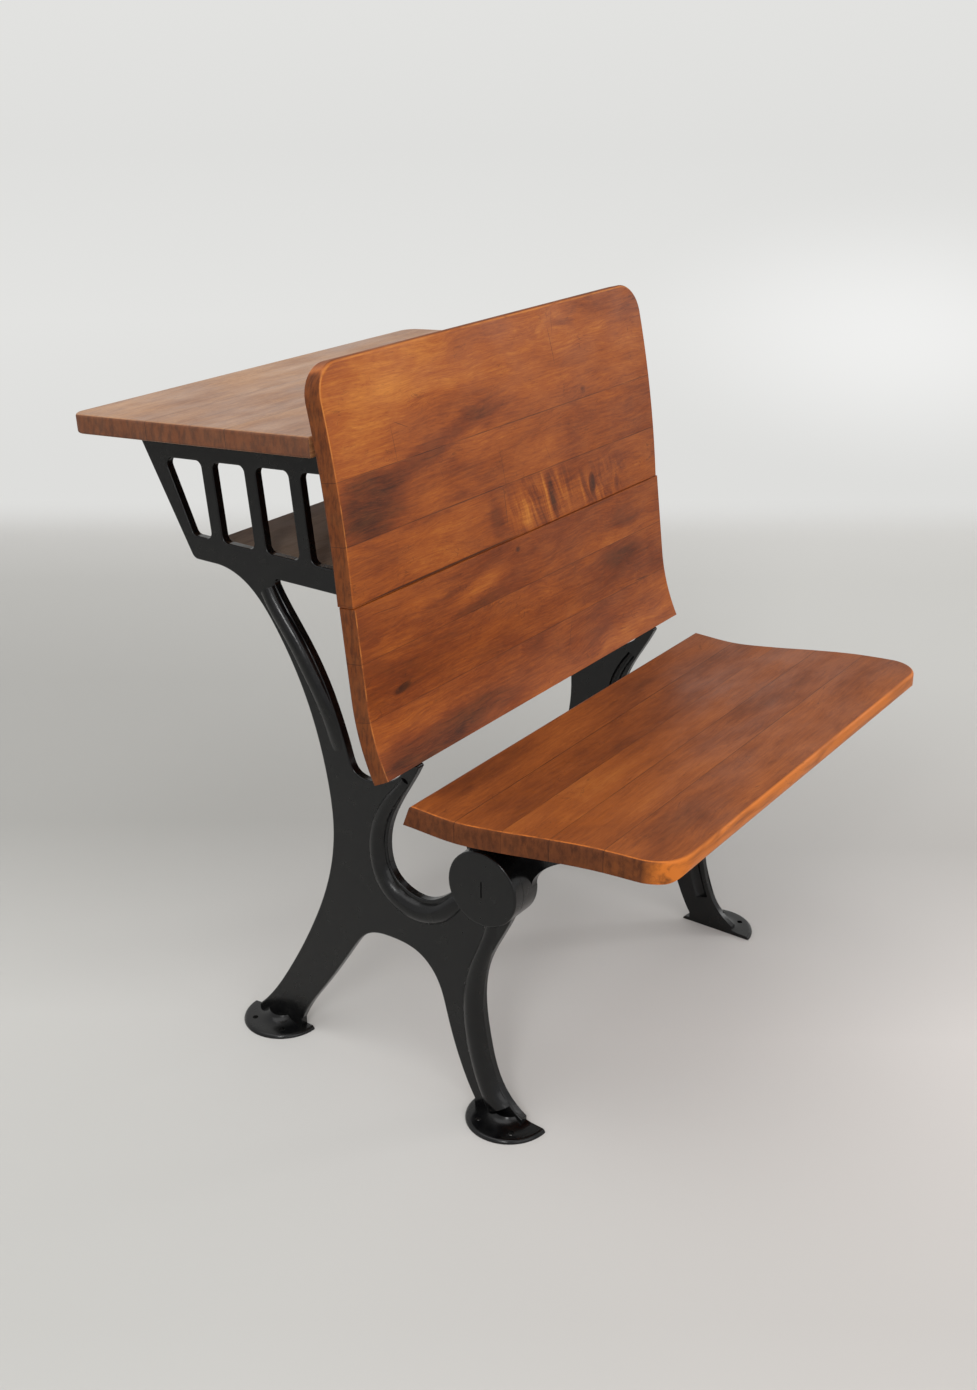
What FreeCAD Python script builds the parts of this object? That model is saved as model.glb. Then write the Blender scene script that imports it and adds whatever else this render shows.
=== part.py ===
import FreeCAD, Part
import math
import os
import Sketcher
from FreeCAD import Placement, Rotation, Vector

# School desk with a folding seat, millimetres.
# X runs along the boards, +Y points from the seat to the desk top, +Z is up.
# The origin is on the floor, in the middle between the feet.

# Driving dimensions: alias, value, meaning
SIZES = (
    ("board_span", 610.0, "length of every wooden board along X"),
    ("stand_span", 486.0, "clear width between the two standards"),
    ("stand_depth", 434.0, "front foot tip to rear foot tip"),
    ("stand_height", 740.0, "floor to the underside of the desk top at its front"),
    ("plate_thick", 9.5, "wall of the cast standards"),
    ("edge_round", 1.8, "rounding of the casting's outer edges"),
    ("heel_round", 10.0, "rounding of the gallery's lower corner"),
    ("crook_round", 5.0, "rounding of the inner corners under the gallery"),
    ("tip_round", 2.4, "rounding of the hook tip"),
    ("lug_round", 8.0, "rounding of the lug behind the back"),
    ("fit_gap", 0.2, "clearance between wood and iron"),
    ("boss_radius", 44.0, "hinge boss"),
    ("boss_proud", 5.5, "boss face above the plate"),
    ("boss_round", 2.6, "rounding of the boss rim"),
    ("foot_radius", 49.0, "half-round foot"),
    ("foot_rim", 4.5, "foot thickness at its rim"),
    ("foot_crown", 12.0, "foot height at the leg"),
    ("foot_hole_radius", 3.4, "floor screw hole"),
    ("foot_hole_out", 28.0, "hole centre from the leg's inner face"),
    ("foot_hole_pitch", 44.0, "distance between the two holes of a foot"),
    ("flange_thick", 5.0, "inner flanges of the standards"),
    ("flange_reach", 24.0, "inner flanges inward from the plate"),
    ("ridge_width", 30.0, "half-round ridges on the outer face"),
    ("ridge_rise", 8.0, "ridge height above the plate"),
    ("ridge_root", 1.5, "depth at which a ridge is rooted in the plate"),
    ("hollow_share", 0.62, "width of the hollow behind a ridge, of the ridge"),
    ("hollow_depth", 5.5, "hollows on the inner face, behind the ridges"),
    ("rail_height", 31.5, "top rail of the gallery"),
    ("closing_bar", 29.0, "gallery bar behind the back"),
    ("window_width", 47.3, "opening between two gallery bars"),
    ("window_pitch", 64.6, "from one gallery opening to the next"),
    ("window_corner", 8.0, "corner radius of the openings"),
    ("desk_depth", 355.0, "sloping top, front to pupil's edge"),
    ("desk_thick", 22.0, "desk top boards"),
    ("desk_slope", 4.2, "slope of the desk top, degrees"),
    ("desk_gap", 3.0, "open line between desk top and back"),
    ("desk_corner", 20.0, "plan corners of the desk top"),
    ("board_round", 3.0, "worn edges of the boards"),
    ("shelf_thick", 14.0, "book shelf boards"),
    ("shelf_depth", 234.0, "book shelf, front to rear"),
    ("back_thick", 22.0, "boards of the seat back"),
    ("back_lean", 7.0, "lean of the straight part of the back, degrees"),
    ("back_toe", 27.0, "lean at the bottom of the back, degrees"),
    ("back_bend", 270.0, "bend radius of the lower section"),
    ("back_lower", 195.0, "lower section along its rear face"),
    ("back_upper", 243.0, "upper section along its rear face"),
    ("back_upper_lean", 4.6, "lean of the upper section at its foot, degrees"),
    ("back_upper_bend", 1373.0, "bend radius of the upper section"),
    ("back_step", 2.0, "upper section behind the lower one"),
    ("back_split", 1.4, "open line between the two sections"),
    ("back_corner", 37.0, "top corners of the back"),
    ("back_round", 4.0, "rounded edges of the back"),
    ("seat_depth", 310.0, "seat, rear edge to front edge"),
    ("seat_rise", 27.0, "front edge of the seat above its rear edge"),
    ("seat_thick", 24.0, "seat boards"),
    ("seat_lift", 101.8, "rear edge of the seat above the hinge"),
    ("seat_tail", 57.0, "rear edge of the seat behind the hinge"),
    ("seat_undercut", 9.0, "slant of the seat's rear face"),
    ("seat_corner", 40.0, "front corners of the seat"),
    ("seat_nose", 15.0, "rounding under the front edge"),
    ("seat_round", 4.0, "rounded upper edges of the seat"),
    ("arm_thick", 10.0, "web of the seat arms"),
    ("arm_gap", 0.4, "running gap beside the arm hub"),
    ("hub_length", 16.0, "arm hub along the pin"),
    ("arm_flange", 32.0, "width of the arm's flange under the seat"),
    ("arm_flange_thick", 6.0, "thickness of that flange"),
    ("stop_radius", 7.0, "stop lug of the seat"),
    ("stop_swing", 54.0, "stop lug from the hinge line"),
    ("stop_gap", 0.3, "air between stop toe and lug when the seat is down"),
    ("pin_radius", 8.0, "shank of the pivot pin"),
    ("pin_fit", 0.06, "radial running clearance of the pin"),
    ("pin_head_radius", 12.0, "flush head of the pin"),
    ("pin_head", 5.0, "height of the pin head"),
    ("slot_length", 19.0, "screwdriver slot"),
    ("slot_width", 1.6, "width of that slot"),
    ("slot_depth", 1.8, "depth of that slot"),
    ("nut_fit", 0.1, "radial gap of nut and washer on the pin"),
    ("washer_radius", 15.0, "washer inside the arm"),
    ("washer_thick", 2.0, "washer thickness"),
    ("nut_flats", 22.0, "pivot nut across its flats"),
    ("nut_thick", 8.0, "pivot nut thickness"),
    ("pin_end", 2.0, "pin end beyond its nut"),
    ("screw_radius", 2.1, "wood screw shank"),
    ("screw_head_radius", 4.4, "wood screw head"),
    ("screw_head", 2.6, "height of that head"),
    ("screw_grip", 12.0, "depth of a wood screw in the wood"),
    ("screw_share", 0.55, "place of the screws across a flange"),
    ("pilot_gap", 0.15, "radial gap round a screw shank"),
    ("overrun", 2.0, "how far a cut runs past the surface"),
)

# Sizes that follow from the driving ones
DERIVED = (
    ("boss_height", "=plate_thick + boss_proud", "boss face from the inner face"),
    ("bore_radius", "=pin_radius + pin_fit", "bore for the pin shank"),
    ("head_bore_radius", "=pin_head_radius + pin_fit", "bore for the pin head"),
    ("head_bore", "=pin_head + pin_fit", "depth of that bore"),
    ("nut_bore_radius", "=pin_radius + nut_fit", "bore of nut and washer"),
    ("nut_radius", "=nut_flats / 2 / cos(30)", "pivot nut across its corners, halved"),
    ("pilot_radius", "=screw_radius + pilot_gap", "bore for a screw shank"),
    ("flange_bore", "=flange_thick + overrun * 2", "depth of a screw hole in a flange"),
    ("arm_flange_bore", "=arm_flange_thick + overrun * 4", "depth of a screw hole in an arm flange"),
    ("board_bore", "=arm_flange_thick + fit_gap + screw_grip + overrun", "screw start to hole end"),
    ("shelf_span", "=stand_span - fit_gap * 2", "length of the shelf boards"),
    ("hub_end", "=arm_gap + hub_length", "arm web from the standard"),
    ("arm_end", "=hub_end + arm_thick", "inner face of the arm web"),
    ("washer_end", "=arm_end + arm_gap + washer_thick", "inner face of the washer"),
    ("nut_end", "=washer_end + nut_thick", "inner face of the nut"),
    ("pin_length", "=boss_height + nut_end + pin_end", "pin, head included"),
    ("arm_flange_start", "=hub_end + arm_thick / 2 - arm_flange / 2", "outer side of the arm flange"),
    ("arm_screw_in", "=arm_end + (arm_flange - arm_thick) / 4", "seat screws from the standard"),
    ("plate_screw_in", "=flange_reach * screw_share", "flange screws from the standard"),
)

# Side view of a standard, shares of stand_depth (Y) and stand_height (Z) from the origin
PIVOT_SHARE = (-0.325, 0.3892)
FOOT_SHARE = 0.3871
GALLERY_TOP_SHARE = 0.7811
GALLERY_HEEL_SHARE = (0.599, 0.7803)
RAIL_END_SHARE = 0.515
COLUMN_REAR_SHARES = ((0.415, 0.7603), (0.32, 0.6986), (0.2304, 0.6), (0.1705, 0.4757),
                      (0.1578, 0.4014), (0.174, 0.3243), (0.2512, 0.204), (0.3502, 0.0986),
                      (0.417, 0.042), (0.457, 0.016))
REAR_ANKLE_SHARE = (0.3015, 0.02)
ARCH_SHARES = ((0.2675, 0.0567), (0.2127, 0.1027), (0.112, 0.1914), (0.0438, 0.2365),
               (-0.0369, 0.2446), (-0.1175, 0.2359), (-0.1696, 0.2081), (-0.2065, 0.1481),
               (-0.2512, 0.0676), (-0.295, 0.016))
FRONT_ANKLE_SHARE = (-0.442, 0.016)
FRONT_EDGE_SHARES = ((-0.3705, 0.058), (-0.3325, 0.13), (-0.3181, 0.205), (-0.334, 0.265),
                     (-0.3775, 0.319))
FRONT_MEETS_BOSS = 203.0
BOSS_CREST = 105.0
BEND_MEETS_BOSS = -22.0
BEND_SHARES = ((-0.2, 0.3497), (-0.1475, 0.3335), (-0.0922, 0.3362), (-0.0436, 0.3551),
               (-0.0216, 0.4018), (-0.0345, 0.4432), (-0.0869, 0.5034))
BACK_TOE_SHARE = (-0.083, 0.5392)
HOOK_TIP_SHARE = 0.12
CROOK_SHARES = ((-0.0415, 0.5122), (0.0, 0.5027), (0.0415, 0.4995), (0.0755, 0.506),
                (0.0995, 0.5345), (0.1251, 0.5789), (0.1521, 0.6181), (0.2251, 0.693),
                (0.2707, 0.7292), (0.3129, 0.7658), (0.3262, 0.7803))
LUG_SHARES = (0.0507, 0.7365)
SILL_SHARE = 0.8176
WINDOW_HEEL_SHARE = 0.5945
WINDOW_SLANT_SHARE = 0.6834

# Ridges on the outer face: Y and Z as above, then shares of ridge_width and ridge_rise
COLUMN_RIDGE_SHARES = ((0.3408, 0.7631, 0.72, 1.1), (0.2924, 0.7201, 0.72, 1.15),
                       (0.2477, 0.6841, 0.75, 1.1), (0.2104, 0.6478, 0.77, 1.0),
                       (0.1772, 0.6112, 0.77, 0.8), (0.151, 0.5732, 0.77, 0.5),
                       (0.1279, 0.5339, 0.72, 0.1))
BEND_RIDGE_SHARES = ((-0.085, 0.519, 0.4, 0.3), (-0.055, 0.4925, 0.5, 0.6),
                     (-0.0065, 0.445, 0.66, 0.85), (0.0105, 0.394, 0.76, 0.95),
                     (-0.024, 0.334, 0.86, 1.05), (-0.126, 0.3088, 0.9, 1.1),
                     (-0.2, 0.325, 0.8, 0.95), (-0.248, 0.352, 0.6, 0.4))
LEG_RIDGE_SHARES = ((-0.345, 0.338, 0.5, 0.45), (-0.331, 0.295, 0.6, 0.75),
                    (-0.3075, 0.255, 0.72, 1.0), (-0.2925, 0.215, 0.85, 1.05),
                    (-0.29, 0.165, 0.9, 1.05), (-0.307, 0.105, 0.98, 1.05),
                    (-0.335, 0.0555, 0.98, 1.15), (-0.37, 0.02, 1.25, 1.2))
# Hollows on the inner face behind the column, bend and leg ridges, as stretches of their stations
COLUMN_HOLLOW = slice(0, 5)
BEND_HOLLOW = slice(1, 6)
LEG_HOLLOW = slice(2, 7)

# Top of a foot from its rim to the leg: shares of the way and of the rise
FOOT_TOP_SHARES = ((0.4, 0.06), (0.78, 0.34))

# Seat top from rear to front: shares of seat_depth and seat_rise
SEAT_TOP_SHARES = ((0.0, 0.0), (0.184, -0.04), (0.358, 0.2), (0.532, 0.52), (0.706, 0.8),
                   (0.861, 0.94), (1.0, 1.0))
NORMAL_STEP_SHARE = 0.01
SEAT_SEAM_SHARES = (0.0, 0.184, 0.371, 0.555, 0.755, 1.0)
DESK_SEAM_SHARES = (0.0, 0.33, 0.66, 1.0)
SHELF_SEAM_SHARES = (0.0, 0.5, 1.0)
BACK_UPPER_SEAM_SHARES = (0.0, 0.255, 0.522, 1.0)
BACK_LOWER_SEAM_SHARES = (0.0, 0.364, 0.697, 1.0)

# Seat arm from the hinge line: shares of boss_radius (Y) and seat_lift (Z)
ARM_FRONT_SHARES = ((-0.99, 0.05), (-1.14, 0.2), (-1.62, 0.38), (-2.5, 0.55), (-3.6, 0.72),
                    (-4.6, 0.86))
ARM_REAR_SHARES = ((1.2, 0.7), (1.04, 0.35))
ARM_RUN_SHARES = (0.02, 0.84)
STOP_ANGLE = -64.0
TOE_SPREAD = 20.0
TOE_REACH_SHARE = 1.07

# Screws: places along each flange
DESK_SCREW_SHARES = (0.15, 0.5, 0.8)
SHELF_SCREW_SHARES = (0.25, 0.75)
BACK_UPPER_SCREW_SHARES = (0.09, 0.38, 0.58)
BACK_LOWER_SCREW_SHARES = (0.83, 0.94)
SEAT_SCREW_SHARES = (0.1, 0.28, 0.46, 0.65, 0.8)

doc = FreeCAD.newDocument("school_desk")
sheet = doc.addObject("Spreadsheet::Sheet", "Sizes")
for row, (alias, value, meaning) in enumerate(SIZES + DERIVED, start=1):
    sheet.set(f"A{row}", meaning)
    sheet.set(f"B{row}", str(value))
    sheet.setAlias(f"B{row}", alias)
doc.recompute()


class Size:
    """Reads a dimension from the sheet by its alias."""

    def __getattr__(self, alias):
        return float(sheet.get(alias))


size = Size()
half_gap = size.stand_span / 2
half_span = size.board_span / 2


def place(share):
    """Point on the side view of a standard from its two shares."""
    return (share[0] * size.stand_depth, share[1] * size.stand_height)


def flat(point):
    """Sketch point from a pair of numbers."""
    return Vector(point[0], point[1], 0)


def polar(centre, radius, degrees):
    """Point at a radius and an angle from a centre."""
    angle = math.radians(degrees)
    return (centre[0] + radius * math.cos(angle), centre[1] + radius * math.sin(angle))


def between(first, last, share):
    """Number part of the way from the first to the last."""
    return first + (last - first) * share


class Outline:
    """An outline drawn from point to point on a sketch plane."""

    def __init__(self, start):
        self.start = start
        self.end = start
        self.curves = []

    def line(self, *points):
        for point in points:
            self.curves.append(Part.LineSegment(flat(self.end), flat(point)))
            self.end = point
        return self

    def arc(self, middle, end):
        self.curves.append(Part.Arc(flat(self.end), flat(middle), flat(end)))
        self.end = end
        return self

    def spline(self, points):
        curve = Part.BSplineCurve()
        curve.interpolate(Points=[flat(self.end)] + [flat(point) for point in points])
        self.curves.append(curve)
        self.end = points[-1]
        return self

    def close(self):
        return self.line(self.start)


def rounded(corners, radius):
    """Outline of a convex polygon whose corners have the given radius."""
    stops = []
    for index, corner in enumerate(corners):
        here = flat(corner)
        before = (flat(corners[index - 1]) - here).normalize()
        after = (flat(corners[(index + 1) % len(corners)]) - here).normalize()
        half = before.getAngle(after) / 2
        reach = radius / math.tan(half)
        inward = (before + after).normalize()
        middle = here + inward * (radius / math.sin(half) - radius)
        stops.append((here + before * reach, middle, here + after * reach))
    outline = Outline(tuple(stops[-1][2])[:2])
    for first, middle, last in stops:
        outline.line(tuple(first)[:2])
        outline.arc(tuple(middle)[:2], tuple(last)[:2])
    return outline


def box_outline(low, high):
    """Outline of a rectangle between two opposite corners."""
    return Outline(low).line((high[0], low[1]), high, (low[0], high[1])).close()


def new_body(name):
    """A named sub-part with an origin of its own."""
    body = doc.addObject("PartDesign::Body", name)
    body.Label = name
    return body


def draw(body, role, outlines, offset=None):
    """A sketch on one of the body's origin planes, holding closed outlines."""
    sketch = body.newObject("Sketcher::SketchObject", body.Name + "_sketch")
    plane = [item for item in body.Origin.OriginFeatures if item.Role == role][0]
    sketch.AttachmentSupport = [(plane, "")]
    sketch.MapMode = "FlatFace"
    if offset:
        sketch.AttachmentOffset = offset
    for outline in outlines:
        sketch.addGeometry(outline.curves)
    return sketch


def draw_circles(body, role, centres, radius, offset=None):
    """A sketch of equal circles whose radius is bound to the sheet."""
    sketch = draw(body, role, [], offset)
    value = getattr(size, radius)
    for number, centre in enumerate(centres):
        index = sketch.addGeometry(Part.Circle(flat(centre), Vector(0, 0, 1), value))
        sketch.addConstraint(Sketcher.Constraint("Radius", index, value))
        sketch.setExpression(f"Constraints[{number}]", "Sizes." + radius)
    return sketch


def pad(body, sketch, length, reverse=False, both_ways=False):
    """Material added along the sketch normal."""
    feature = body.newObject("PartDesign::Pad", body.Name + "_pad")
    feature.Profile = sketch
    feature.setExpression("Length", "Sizes." + length)
    feature.Reversed = reverse
    if both_ways:
        feature.SideType = "Symmetric"
    doc.recompute()
    return feature


def pocket(body, sketch, depth=None, reverse=False, both_ways=False):
    """Material removed against the sketch normal, through all where no depth is given."""
    before = body.Shape.Volume
    feature = body.newObject("PartDesign::Pocket", body.Name + "_pocket")
    feature.Profile = sketch
    if depth:
        feature.setExpression("Length", "Sizes." + depth)
    else:
        feature.Type = "ThroughAll"
    feature.Reversed = reverse
    if both_ways:
        feature.SideType = "Symmetric"
    doc.recompute()
    if body.Shape.Volume >= before:
        raise ValueError(f"{feature.Label} cuts nothing")
    return feature


def fillet(body, wanted, radius):
    """Rounded edges, picked by a test on each edge."""
    base = body.Tip
    names = [f"Edge{number}" for number, edge in enumerate(base.Shape.Edges, start=1) if wanted(edge)]
    feature = body.newObject("PartDesign::Fillet", body.Name + "_fillet")
    feature.Base = (base, names)
    feature.setExpression("Radius", "Sizes." + radius)
    doc.recompute()
    if feature.Shape.isNull():
        raise ValueError(f"{feature.Label} of {len(names)} edges is empty")
    return feature


def span_of(edge, axis):
    """Lowest and highest value of the edge along an axis."""
    box = edge.BoundBox
    return {"x": (box.XMin, box.XMax), "y": (box.YMin, box.YMax), "z": (box.ZMin, box.ZMax)}[axis]


def lies_at(edge, axis, value):
    """True where the whole edge lies at that value of the axis."""
    slack = size.fit_gap / 4
    low, high = span_of(edge, axis)
    return abs(low - value) < slack and abs(high - value) < slack


def along_x_near(edge, points, reach):
    """True for an edge parallel to X that passes one of the side-view points."""
    middle = edge.CenterOfMass
    straight = lies_at(edge, "y", middle.y) and lies_at(edge, "z", middle.z)
    return straight and any(math.hypot(middle.y - y, middle.z - z) < reach for y, z in points)


def drill(body, points, direction, radius, depth=None, across=Vector(1, 0, 0)):
    """Round holes from the given points into the body along the direction."""
    turn = Rotation(across, Vector(), direction * -1, "ZXY")
    offset = Placement(points[0], turn)
    centres = [tuple(offset.inverse().multVec(point))[:2] for point in points]
    return pocket(body, draw_circles(body, "XY_Plane", centres, radius, offset), depth)


class Back:
    """Side view of the seat back: points along its rear face and in front of it."""

    def __init__(self):
        self.toe = place(BACK_TOE_SHARE)
        self.toe_lean = math.radians(size.back_toe)
        self.lean = math.radians(size.back_lean)
        self.foot_lean = math.radians(size.back_upper_lean)
        self.bend_run = size.back_bend * (self.toe_lean - self.lean)
        end = self.lower(size.back_lower)
        self.foot = (end[0] + size.back_split * math.sin(self.lean) + size.back_step,
                     end[1] + size.back_split * math.cos(self.lean))

    def lower_lean(self, run):
        return self.toe_lean - min(run, self.bend_run) / size.back_bend

    def lower(self, run, front=0.0):
        """Point on the lower section, a distance along its rear face and to the front."""
        lean = self.lower_lean(run)
        rest = max(run - self.bend_run, 0.0)
        across = size.back_bend * (math.cos(lean) - math.cos(self.toe_lean)) + rest * math.sin(lean)
        up = size.back_bend * (math.sin(self.toe_lean) - math.sin(lean)) + rest * math.cos(lean)
        return (self.toe[0] + across - front * math.cos(lean), self.toe[1] + up + front * math.sin(lean))

    def upper_lean(self, run):
        return self.foot_lean + run / size.back_upper_bend

    def upper(self, run, front=0.0):
        """Point on the upper section, a distance along its rear face and to the front."""
        lean = self.upper_lean(run)
        across = size.back_upper_bend * (math.cos(self.foot_lean) - math.cos(lean))
        up = size.back_upper_bend * (math.sin(lean) - math.sin(self.foot_lean))
        return (self.foot[0] + across - front * math.cos(lean),
                self.foot[1] + up + front * math.sin(lean))

    def upper_run(self, height):
        """Distance along the upper section's rear face to a height above the floor."""
        sine = math.sin(self.foot_lean) + (height - self.foot[1]) / size.back_upper_bend
        return (math.asin(sine) - self.foot_lean) * size.back_upper_bend

    def lower_run(self, height):
        """The same for the straight part of the lower section."""
        bend_top = self.lower(self.bend_run)
        return self.bend_run + (height - bend_top[1]) / math.cos(self.lean)


class Desk:
    """Side view of the sloping top: its underside and where it starts."""

    def __init__(self, back):
        self.slope = math.radians(size.desk_slope)
        top = size.stand_height + size.desk_thick * math.cos(self.slope)
        rear_face = back.upper(back.upper_run(top))[0]
        self.front = rear_face + size.desk_gap - size.desk_thick * math.sin(self.slope)

    def under(self, across, below=0.0):
        """Height of the underside at a place, or of a line below it."""
        return size.stand_height - (across - self.front) * math.tan(self.slope) - below


class Seat:
    """Side view of the seat in its sitting position."""

    def __init__(self, pivot):
        self.rear = (pivot[0] + size.seat_tail, pivot[1] + size.seat_lift)

    def across(self, share):
        return self.rear[0] - share * size.seat_depth

    def rise(self, share):
        """Dished upper face: smooth curve through the top shares."""
        knots = SEAT_TOP_SHARES
        last = len(knots) - 2
        step = max(index for index in range(last + 1) if knots[index][0] <= share or index == 0)
        before = knots[max(step - 1, 0)]
        start = knots[step]
        end = knots[step + 1]
        after = knots[min(step + 2, last + 1)]
        run = end[0] - start[0]
        part = (share - start[0]) / run
        start_slope = (end[1] - before[1]) / (end[0] - before[0])
        end_slope = (after[1] - start[1]) / (after[0] - start[0])
        return (start[1] * (1 + 2 * part) * (1 - part) ** 2 + end[1] * part ** 2 * (3 - 2 * part)
                + run * (start_slope * part * (1 - part) ** 2 - end_slope * part ** 2 * (1 - part)))

    def top(self, share):
        return (self.across(share), self.rear[1] + self.rise(share) * size.seat_rise)

    def normal(self, share):
        """Direction square to the seat at a place, upward."""
        behind = self.top(share - NORMAL_STEP_SHARE)
        ahead = self.top(share + NORMAL_STEP_SHARE)
        return Vector(0, ahead[1] - behind[1], behind[0] - ahead[0]).normalize()

    def bottom(self, share, below=0.0):
        across, height = self.top(share)
        return (across, height - size.seat_thick - below)


pivot = place(PIVOT_SHARE)
back = Back()
desk = Desk(back)
seat = Seat(pivot)
ledge_top = GALLERY_HEEL_SHARE[1] * size.stand_height + size.flange_thick
shelf_front = (back.upper(back.upper_run(ledge_top + size.shelf_thick))[0]
               + size.flange_thick + size.fit_gap * 2)


def hook_point(front, below):
    """Point of the hook, in front of the back's toe and below its bottom face."""
    start = back.lower(0, front)
    return (start[0] - below * math.sin(back.toe_lean), start[1] - below * math.cos(back.toe_lean))


def standard_outline():
    """Side view of a cast standard, from the gallery down to the feet and back up the front."""
    rail = GALLERY_HEEL_SHARE[1] * size.stand_height
    gallery_top = GALLERY_TOP_SHARE * size.stand_depth
    rear_ankle = place(REAR_ANKLE_SHARE)
    front_ankle = place(FRONT_ANKLE_SHARE)
    arch_foot = place(ARCH_SHARES[-1])
    column_foot = place(COLUMN_REAR_SHARES[-1])
    hook_reach = size.back_thick * (1 + HOOK_TIP_SHARE)
    lug_low = LUG_SHARES[1] * size.stand_height
    lug_run = back.lower_run(lug_low)
    lug_front = back.lower(lug_run, -size.fit_gap)
    top_run = back.upper_run(size.stand_height)
    gallery_front = back.upper(top_run, -size.fit_gap)
    step = back.lower(size.back_lower, -size.fit_gap)
    upper_foot = back.upper(0, -size.fit_gap)

    outline = Outline((gallery_top, desk.under(gallery_top, size.fit_gap)))
    outline.line(place(GALLERY_HEEL_SHARE), (RAIL_END_SHARE * size.stand_depth, rail))
    outline.spline([place(share) for share in COLUMN_REAR_SHARES])
    outline.line((column_foot[0], 0), (rear_ankle[0], 0), rear_ankle)
    outline.spline([place(share) for share in ARCH_SHARES])
    outline.line((arch_foot[0], 0), (front_ankle[0], 0), front_ankle)
    inner_boss = size.boss_radius - size.edge_round
    outline.spline([place(share) for share in FRONT_EDGE_SHARES]
                   + [polar(pivot, inner_boss, FRONT_MEETS_BOSS)])
    outline.arc(polar(pivot, inner_boss, BOSS_CREST), polar(pivot, inner_boss, BEND_MEETS_BOSS))
    outline.spline([place(share) for share in BEND_SHARES]
                   + [hook_point(hook_reach, size.fit_gap)])
    outline.line(hook_point(0, size.fit_gap))
    outline.spline([place(share) for share in CROOK_SHARES])
    lug_rear = lug_front[0] + LUG_SHARES[0] * size.stand_depth
    outline.line((lug_rear, rail), (lug_rear, lug_low), lug_front, step, (upper_foot[0], step[1]),
                 upper_foot)
    outline.arc(back.upper(top_run / 2, -size.fit_gap), gallery_front)
    outline.line((gallery_front[0], desk.under(gallery_front[0], size.fit_gap)))
    return outline.close()


def window_outlines():
    """The gallery's openings: three leaning ones and one that follows the slanted end."""
    sill = SILL_SHARE * size.stand_height
    lean = math.tan(back.lean)
    first = back.upper(back.upper_run(sill))[0] + size.closing_bar

    def top_of(foot):
        """Where a leaning side that starts at the sill meets the top rail."""
        fall = math.tan(desk.slope)
        clear = desk.under(foot, size.rail_height) - sill
        height = clear / (1 + fall * lean)
        return (foot + height * lean, sill + height)

    outlines = []
    for number in range(3):
        low = first + number * size.window_pitch
        high = low + size.window_width
        corners = [(low, sill), (high, sill), top_of(high), top_of(low)]
        outlines.append(rounded(corners, size.window_corner))
    low = first + 3 * size.window_pitch
    heel = WINDOW_HEEL_SHARE * size.stand_depth
    slant = WINDOW_SLANT_SHARE * size.stand_depth
    corners = [(low, sill), (heel, sill), (slant, desk.under(slant, size.rail_height)), top_of(low)]
    outlines.append(rounded(corners, size.window_corner))
    return outlines


def loft(body, side, stations, kind, root, width, rise):
    """A half-round form lofted outward through D-shaped sections that stand on the plane at root."""
    points = [place(station) for station in stations]
    sections = []
    for index, station in enumerate(stations):
        before = flat(points[max(index - 1, 0)])
        after = flat(points[min(index + 1, len(points) - 1)])
        along = (after - before).normalize()
        across = Vector(along.y, -along.x, 0)
        half = station[2] * width / 2
        centre = Vector(*points[index], side * root)
        offset = Placement(centre, Rotation(across, Vector(0, 0, side), Vector(), "XYZ"))
        section = Outline((-half, 0)).arc((0, rise(station[3])), (half, 0)).close()
        sections.append(draw(body, "YZ_Plane", [section], offset))
    feature = body.newObject("PartDesign::" + kind, body.Name + "_loft")
    feature.Profile = sections[0]
    feature.Sections = sections[1:]
    doc.recompute()
    return feature


def add_ridge(body, side, stations):
    """A half-round ridge on the outer face of a standard."""
    return loft(body, side, stations, "AdditiveLoft", size.plate_thick - size.ridge_root,
                size.ridge_width, lambda share: size.ridge_root + share * size.ridge_rise)


def cut_hollow(body, side, stations):
    """A hollow on the inner face, behind a ridge."""
    return loft(body, side, stations, "SubtractiveLoft", -size.overrun,
                size.ridge_width * size.hollow_share, lambda share: size.overrun + size.hollow_depth)


def add_foot(body, side, across):
    """A crowned half-round foot, turned about the leg's inner face."""
    radius = size.foot_radius
    rim = size.foot_rim
    shoulder = size.plate_thick + size.ridge_rise
    corner = polar((radius - rim, 0), rim, 45)
    outline = Outline((0, 0)).line((side * radius, 0))
    outline.arc((side * corner[0], corner[1]), (side * (radius - rim), rim))
    top = [(side * between(radius - rim, shoulder, out), between(rim, size.foot_crown, up))
           for out, up in FOOT_TOP_SHARES]
    outline.spline(top + [(side * shoulder, size.foot_crown)])
    outline.line((0, size.foot_crown)).close()
    sketch = draw(body, "XZ_Plane", [outline], Placement(Vector(0, 0, -across), Rotation()))
    feature = body.newObject("PartDesign::Revolution", body.Name + "_foot")
    feature.Profile = sketch
    feature.ReferenceAxis = (sketch, ["V_Axis"])
    feature.Angle = 180
    feature.Midplane = True
    doc.recompute()
    return feature


def top_flange_outline():
    """Flange under the desk top."""
    first = desk.front + size.flange_thick
    last = GALLERY_TOP_SHARE * size.stand_depth - size.heel_round
    low = size.fit_gap + size.flange_thick
    return Outline((first, desk.under(first, size.fit_gap))).line(
        (last, desk.under(last, size.fit_gap)), (last, desk.under(last, low)),
        (first, desk.under(first, low))).close()


def ledge_outline():
    """Ledge that carries the book shelf."""
    low = (shelf_front, ledge_top - size.flange_thick)
    return box_outline(low, (shelf_front + size.shelf_depth - size.heel_round, ledge_top))


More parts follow.
